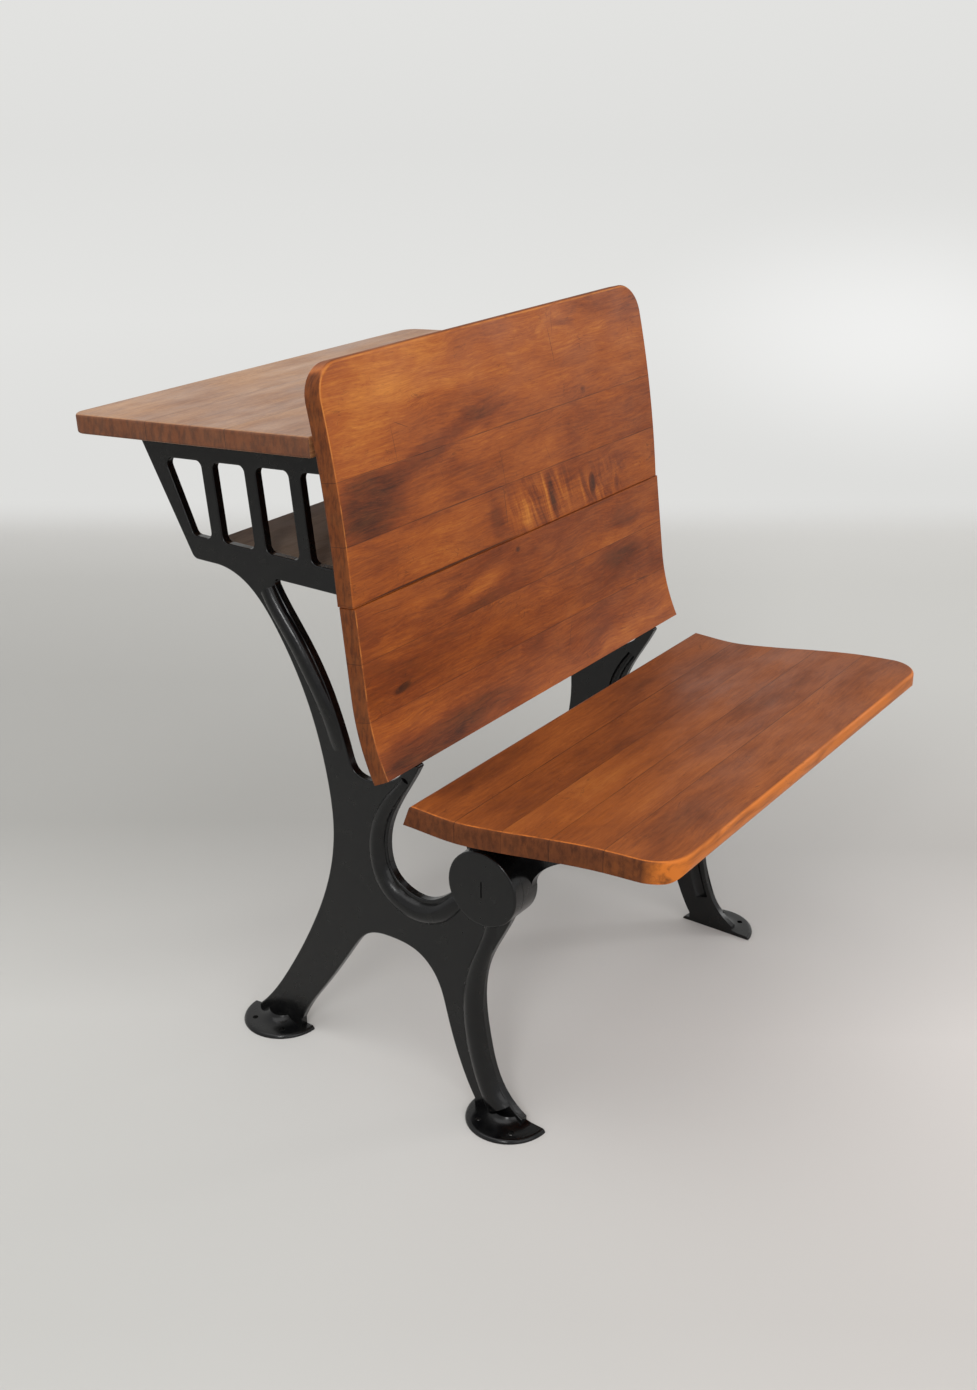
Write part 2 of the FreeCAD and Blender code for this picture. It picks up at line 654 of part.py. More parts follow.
def back_flange_outline():
    """Flange along the rear face of the back, from the lug to the desk top."""
    near_side = -size.fit_gap
    far_side = -size.fit_gap - size.flange_thick
    low_run = back.lower_run(LUG_SHARES[1] * size.stand_height + size.tip_round)
    top_run = back.upper_run(size.stand_height - size.flange_thick)
    outline = Outline(back.lower(low_run, near_side)).line(back.lower(size.back_lower, near_side))
    outline.line(back.upper(0, near_side))
    outline.arc(back.upper(top_run / 2, near_side), back.upper(top_run, near_side))
    outline.line(back.upper(top_run, far_side))
    outline.arc(back.upper(top_run / 2, far_side), back.upper(0, far_side))
    outline.line(back.lower(size.back_lower, far_side), back.lower(low_run, far_side))
    return outline.close()


def back_screw_run(number):
    """Distance of a back screw along the upper section's rear face."""
    return BACK_UPPER_SCREW_SHARES[number] * size.back_upper


def is_open_edge(edge, outer):
    """True for an outer edge of the plate that neither wood, boss nor floor covers."""
    middle = edge.CenterOfMass
    if not lies_at(edge, "x", outer) or middle.z < size.foot_crown:
        return False
    if edge.Curve.TypeId == "Part::GeomCircle":
        if abs(edge.Curve.Radius - size.boss_radius + size.edge_round) < size.fit_gap:
            return False
    if middle.z > desk.under(middle.y) - size.edge_round:
        return False
    if middle.z > back.foot[1] - size.edge_round:
        return middle.y > back.upper(back.upper_run(middle.z))[0] + size.back_step * 2
    if middle.z > LUG_SHARES[1] * size.stand_height + size.edge_round:
        return middle.y > back.lower(back.lower_run(middle.z))[0] + size.back_step
    return True


def make_standard(name, side):
    """A cast iron side standard; side is -1 on the left and 1 on the right."""
    body = new_body(name)
    outward = side < 0
    inward = side > 0
    outer = side * size.plate_thick
    rail = GALLERY_HEEL_SHARE[1] * size.stand_height
    lug_low = LUG_SHARES[1] * size.stand_height
    lug_rear = back.lower(back.lower_run(lug_low), -size.fit_gap)[0] + LUG_SHARES[0] * size.stand_depth
    hook_tip = hook_point(size.back_thick * (1 + HOOK_TIP_SHARE), size.fit_gap)

    pad(body, draw(body, "YZ_Plane", [standard_outline()]), "plate_thick", reverse=outward)
    pocket(body, draw(body, "YZ_Plane", window_outlines()), both_ways=True)
    for points, radius in (([place(GALLERY_HEEL_SHARE)], "heel_round"),
                           ([place(CROOK_SHARES[-1]), (lug_rear, rail)], "crook_round"),
                           ([hook_tip], "tip_round"), ([(lug_rear, lug_low)], "lug_round")):
        fillet(body, lambda edge: along_x_near(edge, points, size.fit_gap * 2), radius)
    fillet(body, lambda edge: is_open_edge(edge, outer), "edge_round")

    pad(body, draw_circles(body, "YZ_Plane", [pivot], "boss_radius"), "boss_height", reverse=outward)
    fillet(body, lambda edge: lies_at(edge, "x", side * size.boss_height), "boss_round")
    for outline in (top_flange_outline(), ledge_outline(), back_flange_outline()):
        pad(body, draw(body, "YZ_Plane", [outline]), "flange_reach", reverse=inward)
    lug = polar(pivot, size.stop_swing, STOP_ANGLE)
    pad(body, draw_circles(body, "YZ_Plane", [lug], "stop_radius"), "hub_length", reverse=inward)

    pocket(body, draw_circles(body, "YZ_Plane", [pivot], "bore_radius"), both_ways=True)
    face = Placement(Vector(0, 0, side * size.boss_height), Rotation())
    pocket(body, draw_circles(body, "YZ_Plane", [pivot], "head_bore_radius", face), "head_bore",
           reverse=outward)
    drill_flanges(body, side)
    for stations, hollow in ((COLUMN_RIDGE_SHARES, COLUMN_HOLLOW),
                             (BEND_RIDGE_SHARES, BEND_HOLLOW), (LEG_RIDGE_SHARES, LEG_HOLLOW)):
        add_ridge(body, side, stations)
        cut_hollow(body, side, stations[hollow])
    for direction in (-1, 1):
        add_foot(body, side, direction * FOOT_SHARE * size.stand_depth)
    drill(body, foot_holes(side), Vector(0, 0, -1), "foot_hole_radius")
    body.setExpression("Placement.Base.x", "Sizes.stand_span / 2" if inward else "-Sizes.stand_span / 2")
    return body


def foot_holes(side):
    """Centres of the four floor screw holes of a standard, above the feet, in its own frame."""
    high = size.foot_crown + size.overrun
    return [Vector(side * size.foot_hole_out,
                   foot * FOOT_SHARE * size.stand_depth + end * size.foot_hole_pitch / 2, high)
            for foot in (-1, 1) for end in (-1, 1)]


def drill_flanges(body, side):
    """Holes for the wood screws."""
    for group in (desk_screws(side), shelf_screws(side)):
        drill(body, [start - aim * size.overrun for start, aim, wood in group], group[0][1],
              "pilot_radius", "flange_bore")
    for start, aim, wood in back_screws(side):
        drill(body, [start - aim * size.overrun], aim, "pilot_radius", "flange_bore")


# Wood screws: where each starts under its flange, its direction, and the board that it holds

def flange_x(side):
    """Place of the flange screws along X in a standard's own frame."""
    return -side * size.plate_screw_in


def desk_screws(side):
    aim = Vector(0, math.sin(desk.slope), math.cos(desk.slope))
    rows = []
    for number, share in enumerate(DESK_SCREW_SHARES):
        across = desk.front + share * size.desk_depth * math.cos(desk.slope)
        touch = Vector(flange_x(side), across, desk.under(across, size.fit_gap))
        rows.append((touch - aim * size.flange_thick, aim, number))
    return rows


def shelf_screws(side):
    aim = Vector(0, 0, 1)
    return [(Vector(flange_x(side), shelf_front + share * size.shelf_depth,
                    ledge_top - size.flange_thick), aim, number)
            for number, share in enumerate(SHELF_SCREW_SHARES)]


def back_screws(side):
    """Three screws into the upper section and two through the lug into the lower one."""
    outside = -size.fit_gap - size.flange_thick
    rows = []
    for number in range(len(BACK_UPPER_SCREW_SHARES)):
        run = back_screw_run(number)
        lean = back.upper_lean(run)
        aim = Vector(0, -math.cos(lean), math.sin(lean))
        rows.append((Vector(flange_x(side), *back.upper(run, outside)), aim, ("upper", number)))
    aim = Vector(0, -math.cos(back.lean), math.sin(back.lean))
    last = len(BACK_LOWER_SEAM_SHARES) - 2
    for share in BACK_LOWER_SCREW_SHARES:
        start = back.lower(share * size.back_lower, outside)
        rows.append((Vector(flange_x(side), *start), aim, ("lower", last)))
    return rows


def seat_screws(side):
    """Screws through the arm flange, each square to the seat where it stands."""
    rows = []
    for number, share in enumerate(SEAT_SCREW_SHARES):
        start = seat.bottom(share, size.fit_gap + size.arm_flange_thick)
        rows.append((Vector(-side * size.arm_screw_in, *start), seat.normal(share), number))
    return rows


def in_world(group, side):
    """The same screws in the frame of the whole desk."""
    shift = Vector(side * half_gap, 0, 0)
    return [(start + shift, aim, wood) for start, aim, wood in group]


def both_sides(group):
    """A group of screws of both standards in the frame of the whole desk."""
    return in_world(group(-1), -1) + in_world(group(1), 1)


def make_screws(name, rows, plate):
    """One node of round-head wood screws, each a separate solid."""
    length = plate + size.fit_gap + size.screw_grip
    tip = size.screw_radius * 2
    bulge = polar((0, 0), 1, 225)
    profile = Outline((0, -size.screw_head))
    profile.arc((-bulge[0] * size.screw_head_radius, bulge[1] * size.screw_head),
                (size.screw_head_radius, 0))
    profile.line((size.screw_radius, 0), (size.screw_radius, length - tip), (0, length)).close()
    wire = Part.Wire([curve.toShape() for curve in profile.curves])
    upright = Rotation(Vector(1, 0, 0), 90)
    wire.Placement = Placement(Vector(), upright)
    screw = Part.Face(wire).revolve(Vector(), Vector(0, 0, 1), 360)
    copies = []
    for start, aim, wood in rows:
        copy = screw.copy()
        copy.Placement = Placement(start, Rotation(Vector(0, 0, 1), aim))
        copies.append(copy)
    group = doc.addObject("Part::Feature", name)
    group.Label = name
    group.Shape = Part.makeCompound(copies)
    return group


# Boards: a section across the board, padded along X

def pilot(body, rows, wood, inverse=Placement()):
    """Pilot holes in one board for the screws that end in it."""
    for start, aim, target in rows:
        if target == wood:
            drill(body, [inverse.multVec(start)], inverse.Rotation.multVec(aim), "pilot_radius",
                  "board_bore")


def make_board(name, section):
    """A board from its section."""
    body = new_body(name)
    pad(body, draw(body, "YZ_Plane", [section]), "board_span", both_ways=True)
    return body


def cut_corners(body, radius, edge, turn, offset=None):
    """Rounds the two corners on a board's free long edge, which faces along turn in the sketch."""
    outside = size.overrun
    outlines = []
    for side in (-1, 1):
        centre = (side * (half_span - radius), edge - turn * radius)
        corner = polar((0, 0), radius, 45)
        start = (side * half_span, centre[1])
        middle = (centre[0] + side * corner[0], centre[1] + turn * corner[1])
        outlines.append(Outline(start).arc(middle, (centre[0], edge)).line(
            (centre[0], edge + turn * outside), (side * (half_span + outside), edge + turn * outside),
            (side * (half_span + outside), centre[1])).close())
    pocket(body, draw(body, "XY_Plane", outlines, offset), both_ways=True)


def at_end(edge):
    """True for an edge on either end face of a board."""
    return lies_at(edge, "x", half_span) or lies_at(edge, "x", -half_span)


def make_desk_boards():
    """The sloping top: flat boards glued side by side."""
    spot = Placement(Vector(0, desk.front, size.stand_height),
                     Rotation(Vector(1, 0, 0), -size.desk_slope))
    rows = both_sides(desk_screws)
    last = len(DESK_SEAM_SHARES) - 2
    boards = []
    for number in range(last + 1):
        low, high = [share * size.desk_depth for share in DESK_SEAM_SHARES[number:number + 2]]
        body = make_board(f"desk_board_{number + 1}", box_outline((low, 0), (high, size.desk_thick)))
        if number == last:
            cut_corners(body, size.desk_corner, high, 1)

        def worn(edge):
            middle = edge.CenterOfMass
            face = lies_at(edge, "z", 0) or lies_at(edge, "z", size.desk_thick)
            seam = (number > 0 and lies_at(edge, "y", low)) or (number < last and lies_at(edge, "y", high))
            return face and not seam

        fillet(body, worn, "board_round")
        pilot(body, rows, number, spot.inverse())
        body.Placement = spot
        boards.append(body)
    return boards


def make_shelf_boards():
    """The book shelf between the standards."""
    rows = both_sides(shelf_screws)
    boards = []
    for number in range(len(SHELF_SEAM_SHARES) - 1):
        low, high = [shelf_front + share * size.shelf_depth
                     for share in SHELF_SEAM_SHARES[number:number + 2]]
        foot = ledge_top + size.fit_gap
        body = new_body(f"shelf_board_{number + 1}")
        section = box_outline((low, foot), (high, foot + size.shelf_thick))
        pad(body, draw(body, "YZ_Plane", [section]), "shelf_span", both_ways=True)
        pilot(body, rows, number)
        boards.append(body)
    return boards


def follow(outline, point, first, last, front, bend_end):
    """Draws on along a face of the back: an arc within its bend, a line above it."""
    stops = [first, last]
    if min(stops) < bend_end < max(stops):
        stops.insert(1, bend_end)
    for begin, end in zip(stops, stops[1:]):
        if min(begin, end) < bend_end:
            outline.arc(point((begin + end) / 2, front), point(end, front))
        else:
            outline.line(point(end, front))
    return outline


def curved_section(point, low, high, bend_end):
    """Section of a board of the back between two seams."""
    outline = follow(Outline(point(low, 0)), point, low, high, 0, bend_end)
    outline.line(point(high, size.back_thick))
    return follow(outline, point, high, low, size.back_thick, bend_end).close()


def make_back_boards():
    """Lower and upper section of the seat back."""
    rows = both_sides(back_screws)
    boards = []
    sections = (("lower", BACK_LOWER_SEAM_SHARES, size.back_lower, back.lower, back.bend_run),
                ("upper", BACK_UPPER_SEAM_SHARES, size.back_upper, back.upper, math.inf))
    for part, seams, length, point, bend_end in sections:
        last = len(seams) - 2
        for number in range(last + 1):
            low, high = [share * length for share in seams[number:number + 2]]
            body = make_board(f"back_{part}_board_{number + 1}",
                              curved_section(point, low, high, bend_end))
            crown = part == "upper" and number == last
            if crown:
                lean = back.upper_lean(high)
                top = Vector(0, *point(high))
                plane = Placement(top, Rotation(Vector(1, 0, 0), Vector(0, math.sin(lean), math.cos(lean)),
                                                Vector(), "XYZ"))
                cut_corners(body, size.back_corner, 0, 1, plane)

            def worn(edge):
                """Long edges of the faces, off the seams."""
                if edge.Length < size.back_thick + size.overrun:
                    return False
                rounded_top = crown and edge.CenterOfMass.z > back.upper(high - size.back_corner)[1]
                return at_end(edge) or rounded_top

            fillet(body, worn, "back_round")
            pilot(body, rows, (part, number))
            boards.append(body)
    return boards


def seat_section(number):
    """Section of a seat board between two seams."""
    low, high = SEAT_SEAM_SHARES[number:number + 2]
    stops = [between(low, high, part / 4) for part in range(5)]
    outline = Outline(seat.top(low)).spline([seat.top(stop) for stop in stops[1:]])
    front = number == len(SEAT_SEAM_SHARES) - 2
    if front:
        tip = seat.top(high)
        nose_share = 1 - size.seat_nose / size.seat_depth
        stops = [between(low, nose_share, part / 4) for part in range(5)]
        nose = seat.bottom(nose_share)
        outline.line((tip[0], nose[1] + size.seat_nose))
        outline.arc(polar((nose[0], nose[1] + size.seat_nose), size.seat_nose, 225), nose)
    else:
        outline.line(seat.bottom(high))
    tail = [seat.bottom(stop) for stop in reversed(stops[:-1])]
    if number == 0:
        tail[-1] = (tail[-1][0] + size.seat_undercut, tail[-1][1])
    return outline.spline(tail).close()


def make_seat_boards():
    """The seat: dished boards glued side by side."""
    rows = both_sides(seat_screws)
    last = len(SEAT_SEAM_SHARES) - 2
    boards = []
    for number in range(last + 1):
        body = make_board(f"seat_board_{number + 1}", seat_section(number))
        front = seat.top(1)[0]
        if number == last:
            cut_corners(body, size.seat_corner, front, -1)

        def worn(edge):
            """Edges of the upper face, off the seams."""
            middle = edge.CenterOfMass
            share = (seat.rear[0] - middle.y) / size.seat_depth
            if share > 1 or share < 0:
                share = round(share)
            high = abs(middle.z - seat.top(share)[1]) < size.seat_round / 2
            rear = number == 0 and lies_at(edge, "y", seat.rear[0])
            nose = number == last and share > SEAT_SEAM_SHARES[-2] + size.fit_gap / size.seat_depth
            return high and (at_end(edge) or rear or nose)

        fillet(body, worn, "seat_round")
        pilot(body, rows, number)
        boards.append(body)
    return boards


def make_arm(name, side):
    """Cast seat arm: hub on the pin, web, flange under the seat and stop toe."""
    body = new_body(name)
    inward = side > 0
    start, end = ARM_RUN_SHARES
    stops = [between(start, end, part / 16) for part in range(17)]
    half_flange = size.fit_gap + size.arm_flange_thick / 2

    def from_hinge(share):
        return (pivot[0] + share[0] * size.boss_radius, pivot[1] + share[1] * size.seat_lift)

    def at_depth(inset):
        return Placement(Vector(0, 0, -side * inset), Rotation())

    pad(body, draw_circles(body, "YZ_Plane", [pivot], "boss_radius", at_depth(size.arm_gap)),
        "hub_length", reverse=inward)
    web = Outline(polar(pivot, size.boss_radius, 177))
    web.spline([from_hinge(share) for share in ARM_FRONT_SHARES])
    web.line(seat.bottom(end, half_flange))
    web.spline([seat.bottom(stop, half_flange) for stop in reversed(stops[:-1])])
    web.spline([from_hinge(share) for share in ARM_REAR_SHARES] + [polar(pivot, size.boss_radius, 5)])
    web.arc(polar(pivot, size.boss_radius, 270), polar(pivot, size.boss_radius, 177))
    pad(body, draw(body, "YZ_Plane", [web], at_depth(size.hub_end)), "arm_thick", reverse=inward)

    flange = Outline(seat.bottom(start, size.fit_gap))
    flange.spline([seat.bottom(stop, size.fit_gap) for stop in stops[1:]])
    under = size.fit_gap + size.arm_flange_thick
    flange.line(seat.bottom(end, under))
    flange.spline([seat.bottom(stop, under) for stop in reversed(stops[:-1])]).close()
    pad(body, draw(body, "YZ_Plane", [flange], at_depth(size.arm_flange_start)), "arm_flange",
        reverse=inward)

    clear = math.degrees(math.asin((size.stop_radius + size.stop_gap) / size.stop_swing))
    near_side = STOP_ANGLE - clear
    reach = size.stop_swing * TOE_REACH_SHARE
    root = size.boss_radius - size.overrun
    toe = Outline(polar(pivot, root, near_side)).line(
        polar(pivot, reach, near_side), polar(pivot, reach, near_side - TOE_SPREAD),
        polar(pivot, root, near_side - TOE_SPREAD)).close()
    pad(body, draw(body, "YZ_Plane", [toe], at_depth(size.arm_gap)), "hub_length", reverse=inward)
    pocket(body, draw_circles(body, "YZ_Plane", [pivot], "bore_radius"), both_ways=True)
    for screw, aim, wood in seat_screws(side):
        drill(body, [screw - aim * size.overrun * 2], aim, "pilot_radius", "arm_flange_bore")
    body.setExpression("Placement.Base.x", "Sizes.stand_span / 2" if inward else "-Sizes.stand_span / 2")
    return body


def make_pin(name, side):
    """Pivot pin with a flush slotted head."""
    body = new_body(name)
    inward = side > 0
    face = Placement(Vector(0, 0, side * size.boss_height), Rotation())
    pad(body, draw_circles(body, "YZ_Plane", [pivot], "pin_radius", face), "pin_length", reverse=inward)
    pad(body, draw_circles(body, "YZ_Plane", [pivot], "pin_head_radius", face), "pin_head",
        reverse=inward)
    half = (size.slot_width / 2, size.slot_length / 2)
    slot = box_outline((pivot[0] - half[0], pivot[1] - half[1]), (pivot[0] + half[0], pivot[1] + half[1]))
    pocket(body, draw(body, "YZ_Plane", [slot], face), "slot_depth", reverse=side < 0)
    body.setExpression("Placement.Base.x", "Sizes.stand_span / 2" if inward else "-Sizes.stand_span / 2")
    return body


def make_ring(name, side, blank, inset, length):
    """A washer or nut on the pin's inner end; blank draws its outline."""
    body = new_body(name)
    inward = side > 0
    offset = Placement(Vector(0, 0, -side * inset), Rotation())
    pad(body, blank(body, offset), length, reverse=inward)
    pocket(body, draw_circles(body, "YZ_Plane", [pivot], "nut_bore_radius"), both_ways=True)
    body.setExpression("Placement.Base.x", "Sizes.stand_span / 2" if inward else "-Sizes.stand_span / 2")
    return body


def washer_blank(body, offset):
    return draw_circles(body, "YZ_Plane", [pivot], "washer_radius", offset)


def nut_blank(body, offset):
    corners = [polar(pivot, size.nut_radius, 60 * corner) for corner in range(6)]
    return draw(body, "YZ_Plane", [Outline(corners[0]).line(*corners[1:]).close()], offset)


pieces = []
for word, side in (("left", -1), ("right", 1)):
    pieces.append(make_standard(f"standard_{word}", side))
    pieces.append(make_arm(f"seat_arm_{word}", side))
    pieces.append(make_pin(f"pivot_pin_{word}", side))
    pieces.append(make_ring(f"pivot_washer_{word}", side, washer_blank,
                            size.washer_end - size.washer_thick, "washer_thick"))
    pieces.append(make_ring(f"pivot_nut_{word}", side, nut_blank, size.washer_end, "nut_thick"))
pieces += make_desk_boards()
pieces += make_shelf_boards()
pieces += make_back_boards()
pieces += make_seat_boards()
pieces.append(make_screws("desk_screws", both_sides(desk_screws), size.flange_thick))
pieces.append(make_screws("shelf_screws", both_sides(shelf_screws), size.flange_thick))
pieces.append(make_screws("back_screws", both_sides(back_screws), size.flange_thick))
pieces.append(make_screws("seat_screws", both_sides(seat_screws), size.arm_flange_thick))
doc.recompute()

for item in doc.Objects:
    if "Invalid" in item.State or "Error" in item.State:
        raise ValueError(f"{item.Label} failed: {item.State}")
for piece in pieces:
    if piece.Shape.isNull() or not piece.Shape.isValid():
        raise ValueError(f"{piece.Label} has no valid shape")

os.makedirs("parts", exist_ok=True)
for piece in pieces:
    piece.Shape.exportStep(f"parts/{piece.Label}.step")
    print(piece.Label, len(piece.Shape.Solids), round(piece.Shape.Volume), piece.Shape.BoundBox)
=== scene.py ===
"""School desk with a folding seat: finishes, small wear, studio and camera.

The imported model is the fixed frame. Lengths in the classes are millimetres unless a
docstring says otherwise, and the scene itself is in metres.
"""

import logging
import math
from abc import ABC, abstractmethod
from dataclasses import dataclass
from enum import Enum

import bpy
from mathutils import Matrix, Vector

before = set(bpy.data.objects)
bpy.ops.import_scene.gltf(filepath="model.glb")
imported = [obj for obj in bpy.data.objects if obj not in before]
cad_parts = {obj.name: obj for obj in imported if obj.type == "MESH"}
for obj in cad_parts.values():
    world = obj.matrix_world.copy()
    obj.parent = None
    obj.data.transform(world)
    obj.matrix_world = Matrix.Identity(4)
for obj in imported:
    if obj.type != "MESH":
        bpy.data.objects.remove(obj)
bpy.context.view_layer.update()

MM = 0.001
# Half size of an oval in a direction in which it has no end, in millimetres
FAR = 1000.0
# Levels that most of a noise lies between
MOST = (0.3, 0.7)
log = logging.getLogger("school_desk")

Tree = bpy.types.NodeTree
Socket = bpy.types.NodeSocket
Value = float | Socket
Span = tuple[float, float]
Point = tuple[float, float, float]
Stops = tuple[tuple[float, str], ...]


def linear(code: str) -> tuple[float, float, float, float]:
    """Turns an sRGB hex colour into the linear one that shaders take.

    Args:
        code: six hex digits, with or without a leading mark.

    Returns:
        Red, green, blue and an alpha of 1.
    """
    digits = code.lstrip("#")
    channels = [int(digits[start:start + 2], 16) / 255 for start in (0, 2, 4)]
    red, green, blue = (value / 12.92 if value <= 0.04045 else ((value + 0.055) / 1.055) ** 2.4
                        for value in channels)
    return (red, green, blue, 1.0)


def add_node(tree: Tree, kind: str, inputs: dict[int | str, object] | None = None,
             **settings: object) -> bpy.types.Node:
    """Adds a shader node with its settings, values and links.

    Args:
        tree: the material's or world's tree.
        kind: node type without its common first words.
        inputs: values or source sockets by input name or number.
        settings: attributes of the node.

    Returns:
        The new node.
    """
    node = tree.nodes.new("ShaderNode" + kind)
    for name, value in settings.items():
        setattr(node, name, value)
    for key, value in (inputs or {}).items():
        if isinstance(value, Socket):
            tree.links.new(value, node.inputs[key])
        else:
            node.inputs[key].default_value = value
    return node


def limits(source: Span, low: Value, high: Value) -> dict[int, Value]:
    """Gives the limits of a Map Range node by the numbers of its inputs.

    Args:
        source: the two values that it is read between.
        low: what it gives at the first.
        high: what it gives at the second.

    Returns:
        The four inputs after the value itself.
    """
    return {1: source[0], 2: source[1], 3: low, 4: high}


def new_material(name: str) -> tuple[bpy.types.Material, Tree]:
    """Makes an empty node material.

    Args:
        name: what the finish is called.

    Returns:
        The material and its cleared tree.
    """
    material = bpy.data.materials.new(name)
    material.use_nodes = True
    material.node_tree.nodes.clear()
    return material, material.node_tree


def new_object(name: str, data: bpy.types.ID) -> bpy.types.Object:
    """Makes an object and links it into the scene.

    Args:
        name: what it is called.
        data: its mesh, lamp or camera.

    Returns:
        The object, at the origin.
    """
    item = bpy.data.objects.new(name, data)
    bpy.context.collection.objects.link(item)
    return item


def dress(node: str, material: bpy.types.Material) -> None:
    """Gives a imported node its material.

    Args:
        node: name of the node.
        material: the finish for all its slots.
    """
    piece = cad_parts[node]
    if not piece.material_slots:
        piece.data.materials.append(material)
    for slot in piece.material_slots:
        slot.link = "OBJECT"
        slot.material = material
    log.info("%s wears %s", node, material.name)


def weigh(tree: Tree, base: Value, *terms: tuple[Value, Value]) -> Socket:
    """Adds weighted values to a base.

    Args:
        tree: the material's tree.
        base: what the sum starts from.
        terms: pairs of a value and its weight.

    Returns:
        The sum.
    """
    total = base
    for value, weight in terms:
        total = add_node(tree, "Math", {0: value, 1: weight, 2: total},
                         operation="MULTIPLY_ADD").outputs[0]
    return total


def tint(tree: Tree, under: Socket, *coats: tuple[Value, str]) -> Socket:
    """Lays coats of colour over one another.

    Args:
        tree: the material's tree.
        under: the colour drawn so far.
        coats: pairs of how much a coat covers and its sRGB hex colour.

    Returns:
        The mixed colour.
    """
    colour = under
    for amount, code in coats:
        colour = add_node(tree, "Mix", {0: amount, 6: colour, 7: linear(code)},
                          data_type="RGBA").outputs[2]
    return colour


def graded(tree: Tree, value: Socket, stops: Stops) -> Socket:
    """Turns a value into a colour through stops.

    Args:
        tree: the material's tree.
        value: the value, 0 at the first stop's place and 1 at the last's.
        stops: places in rising order with their sRGB hex colours.

    Returns:
        The colour.
    """
    ramp = add_node(tree, "ValToRGB", {0: value})
    elements = ramp.color_ramp.elements
    elements[0].position, elements[1].position = stops[0][0], stops[-1][0]
    elements[0].color, elements[1].color = linear(stops[0][1]), linear(stops[-1][1])
    for place, code in stops[1:-1]:
        elements.new(place).color = linear(code)
    return ramp.outputs[0]


@dataclass(frozen=True)
class Oval:
    """A soft-edged oval in space.

    centre is its middle and halves its half sizes along its own axes, in millimetres.
    core is the share of its size out to which it is at full depth, and turn its
    rotation in radians.
    """

    centre: Point
    halves: Point
    core: float
    depth: float
    turn: Point = (0.0, 0.0, 0.0)

    def draw(self, tree: Tree, place: Socket) -> Socket:
        """Draws the oval.

        Args:
            tree: the material's tree.
            place: the point on the piece, in metres.

        Returns:
            The depth inside the oval and 0 outside it.
        """
        local = add_node(tree, "Mapping", {
            "Vector": place, "Location": [value * MM for value in self.centre],
            "Rotation": self.turn, "Scale": [value * MM for value in self.halves]},
            vector_type="TEXTURE")
        reach = add_node(tree, "VectorMath", {0: local.outputs[0]}, operation="LENGTH")
        return add_node(tree, "MapRange", {
            0: reach.outputs["Value"], **limits((1.0, self.core), 0.0, self.depth)},
            interpolation_type="SMOOTHSTEP").outputs[0]


class Lie(Enum):
    """How a board lies, which says where the second coordinate of its marks is read."""

    UPRIGHT = "marks are placed by x and height"
    FLAT = "marks are placed by x and depth"


class Trace(Enum):
    """What a mark on a board is."""

    STAIN = "a darker or lighter patch"
    KNOT = "a dark knot that the grain bends round"
    SWIRL = "figure where the grain turns upright over a hidden branch"
    SCRATCH = "a fine line cut through the varnish"


@dataclass(frozen=True)
class Mark:
    """One mark on a board, placed in the plane of the board.

    along and across are its centre, reach and width its half sizes, turn its slope in
    degrees, and depth how strongly it shows, negative where it is lighter.
    """

    kind: Trace
    along: float
    across: float
    reach: float
    width: float
    turn: float = 0.0
    depth: float = 0.5


@dataclass(frozen=True)
class Seam:
    """A glue line on one long edge of a board: a point of its plane, and the plane's lean."""

    depth_at: float
    height_at: float
    lean: float
    half_width: float = 0.75
    strength: float = 0.8


@dataclass(frozen=True)
class Varnish:
    """Varnished hardwood: how one family of boards looks.

    deep to pale are the wood's own colours, end is its cut end, arris is bare wood
    where the varnish has worn from an edge, and line is the dirt in a crack. clouds,
    mottle, flecks, streaks and fibres are the strengths of the grain's patterns, and
    crazing is that of the fine cracks in the varnish. swing is how far the roughness
    falls and rises between handled and dull places.
    """

    name: str
    deep: str
    warm: str
    clear: str
    pale: str
    end: str
    arris: str
    line: str
    clouds: float = 0.8
    mottle: float = 0.4
    flecks: float = 0.3
    streaks: float = 0.5
    fibres: float = 0.4
    pores: float = 0.4
    crazing: float = 0.4
    roughness: float = 0.46
    swing: Span = (-0.07, 0.09)
    specular: float = 0.36

    def stops(self) -> Stops:
        """Spreads the wood's own colours from its darkest tone to its lightest."""
        return ((0.0, self.deep), (0.36, self.warm), (0.64, self.clear), (1.0, self.pale))


@dataclass(frozen=True)
class Figure:
    """One pattern in the wood, by its size along and across the grain.

    detail is how many finer layers it has and rough their weight, wander is how far it
    is drawn out of shape, slope its slope in degrees on an upright board, and band the
    levels of its noise that it fades in between.
    """

    length: float
    width: float
    detail: float = 2.0
    rough: float = 0.55
    wander: float = 0.0
    slope: float = 0.0
    band: Span = (0.0, 1.0)


# What grew in the wood. Fibres, pores and ridges are finer on the real boards, and
# are drawn a little coarser so that they show
DRIFT = Figure(170, 60)
CLOUDS = Figure(190, 66)
MOTTLE = Figure(70, 20, 5.0, 0.62, 0.6)
FLECKS = Figure(34, 5, 4.0, 0.6, 0.4)
STREAKS = Figure(60, 2.0, 3.0, 0.6)
FIBRES = Figure(10, 0.7, 3.0, 0.6)
PORES = Figure(7.0, 0.8, band=(0.62, 0.74))
RIDGES = Figure(24, 0.7, 3.0)
CURL = Figure(13, 90, 4.0, 0.62, 1.0, 22.0)

# What age and use did: gaps in the dirt of a glue line, cracks in the varnish and where
# they crowd, rubbed edges, a thin front edge, and handled places
GAPS = Figure(55, 300, band=(0.3, 0.6))
CRACKS = Figure(30, 13, 2.0, 0.5, 0.8)
CROWDS = Figure(50, 34, 1.0, band=(0.5, 0.64))
RUBBING = Figure(45, 20, 4.0, 0.6, band=(0.38, 0.58))
THINNING = Figure(90, 9, 3.0, band=(0.25, 0.55))
HANDLING = Figure(90, 40, 3.0, band=(0.32, 0.68))

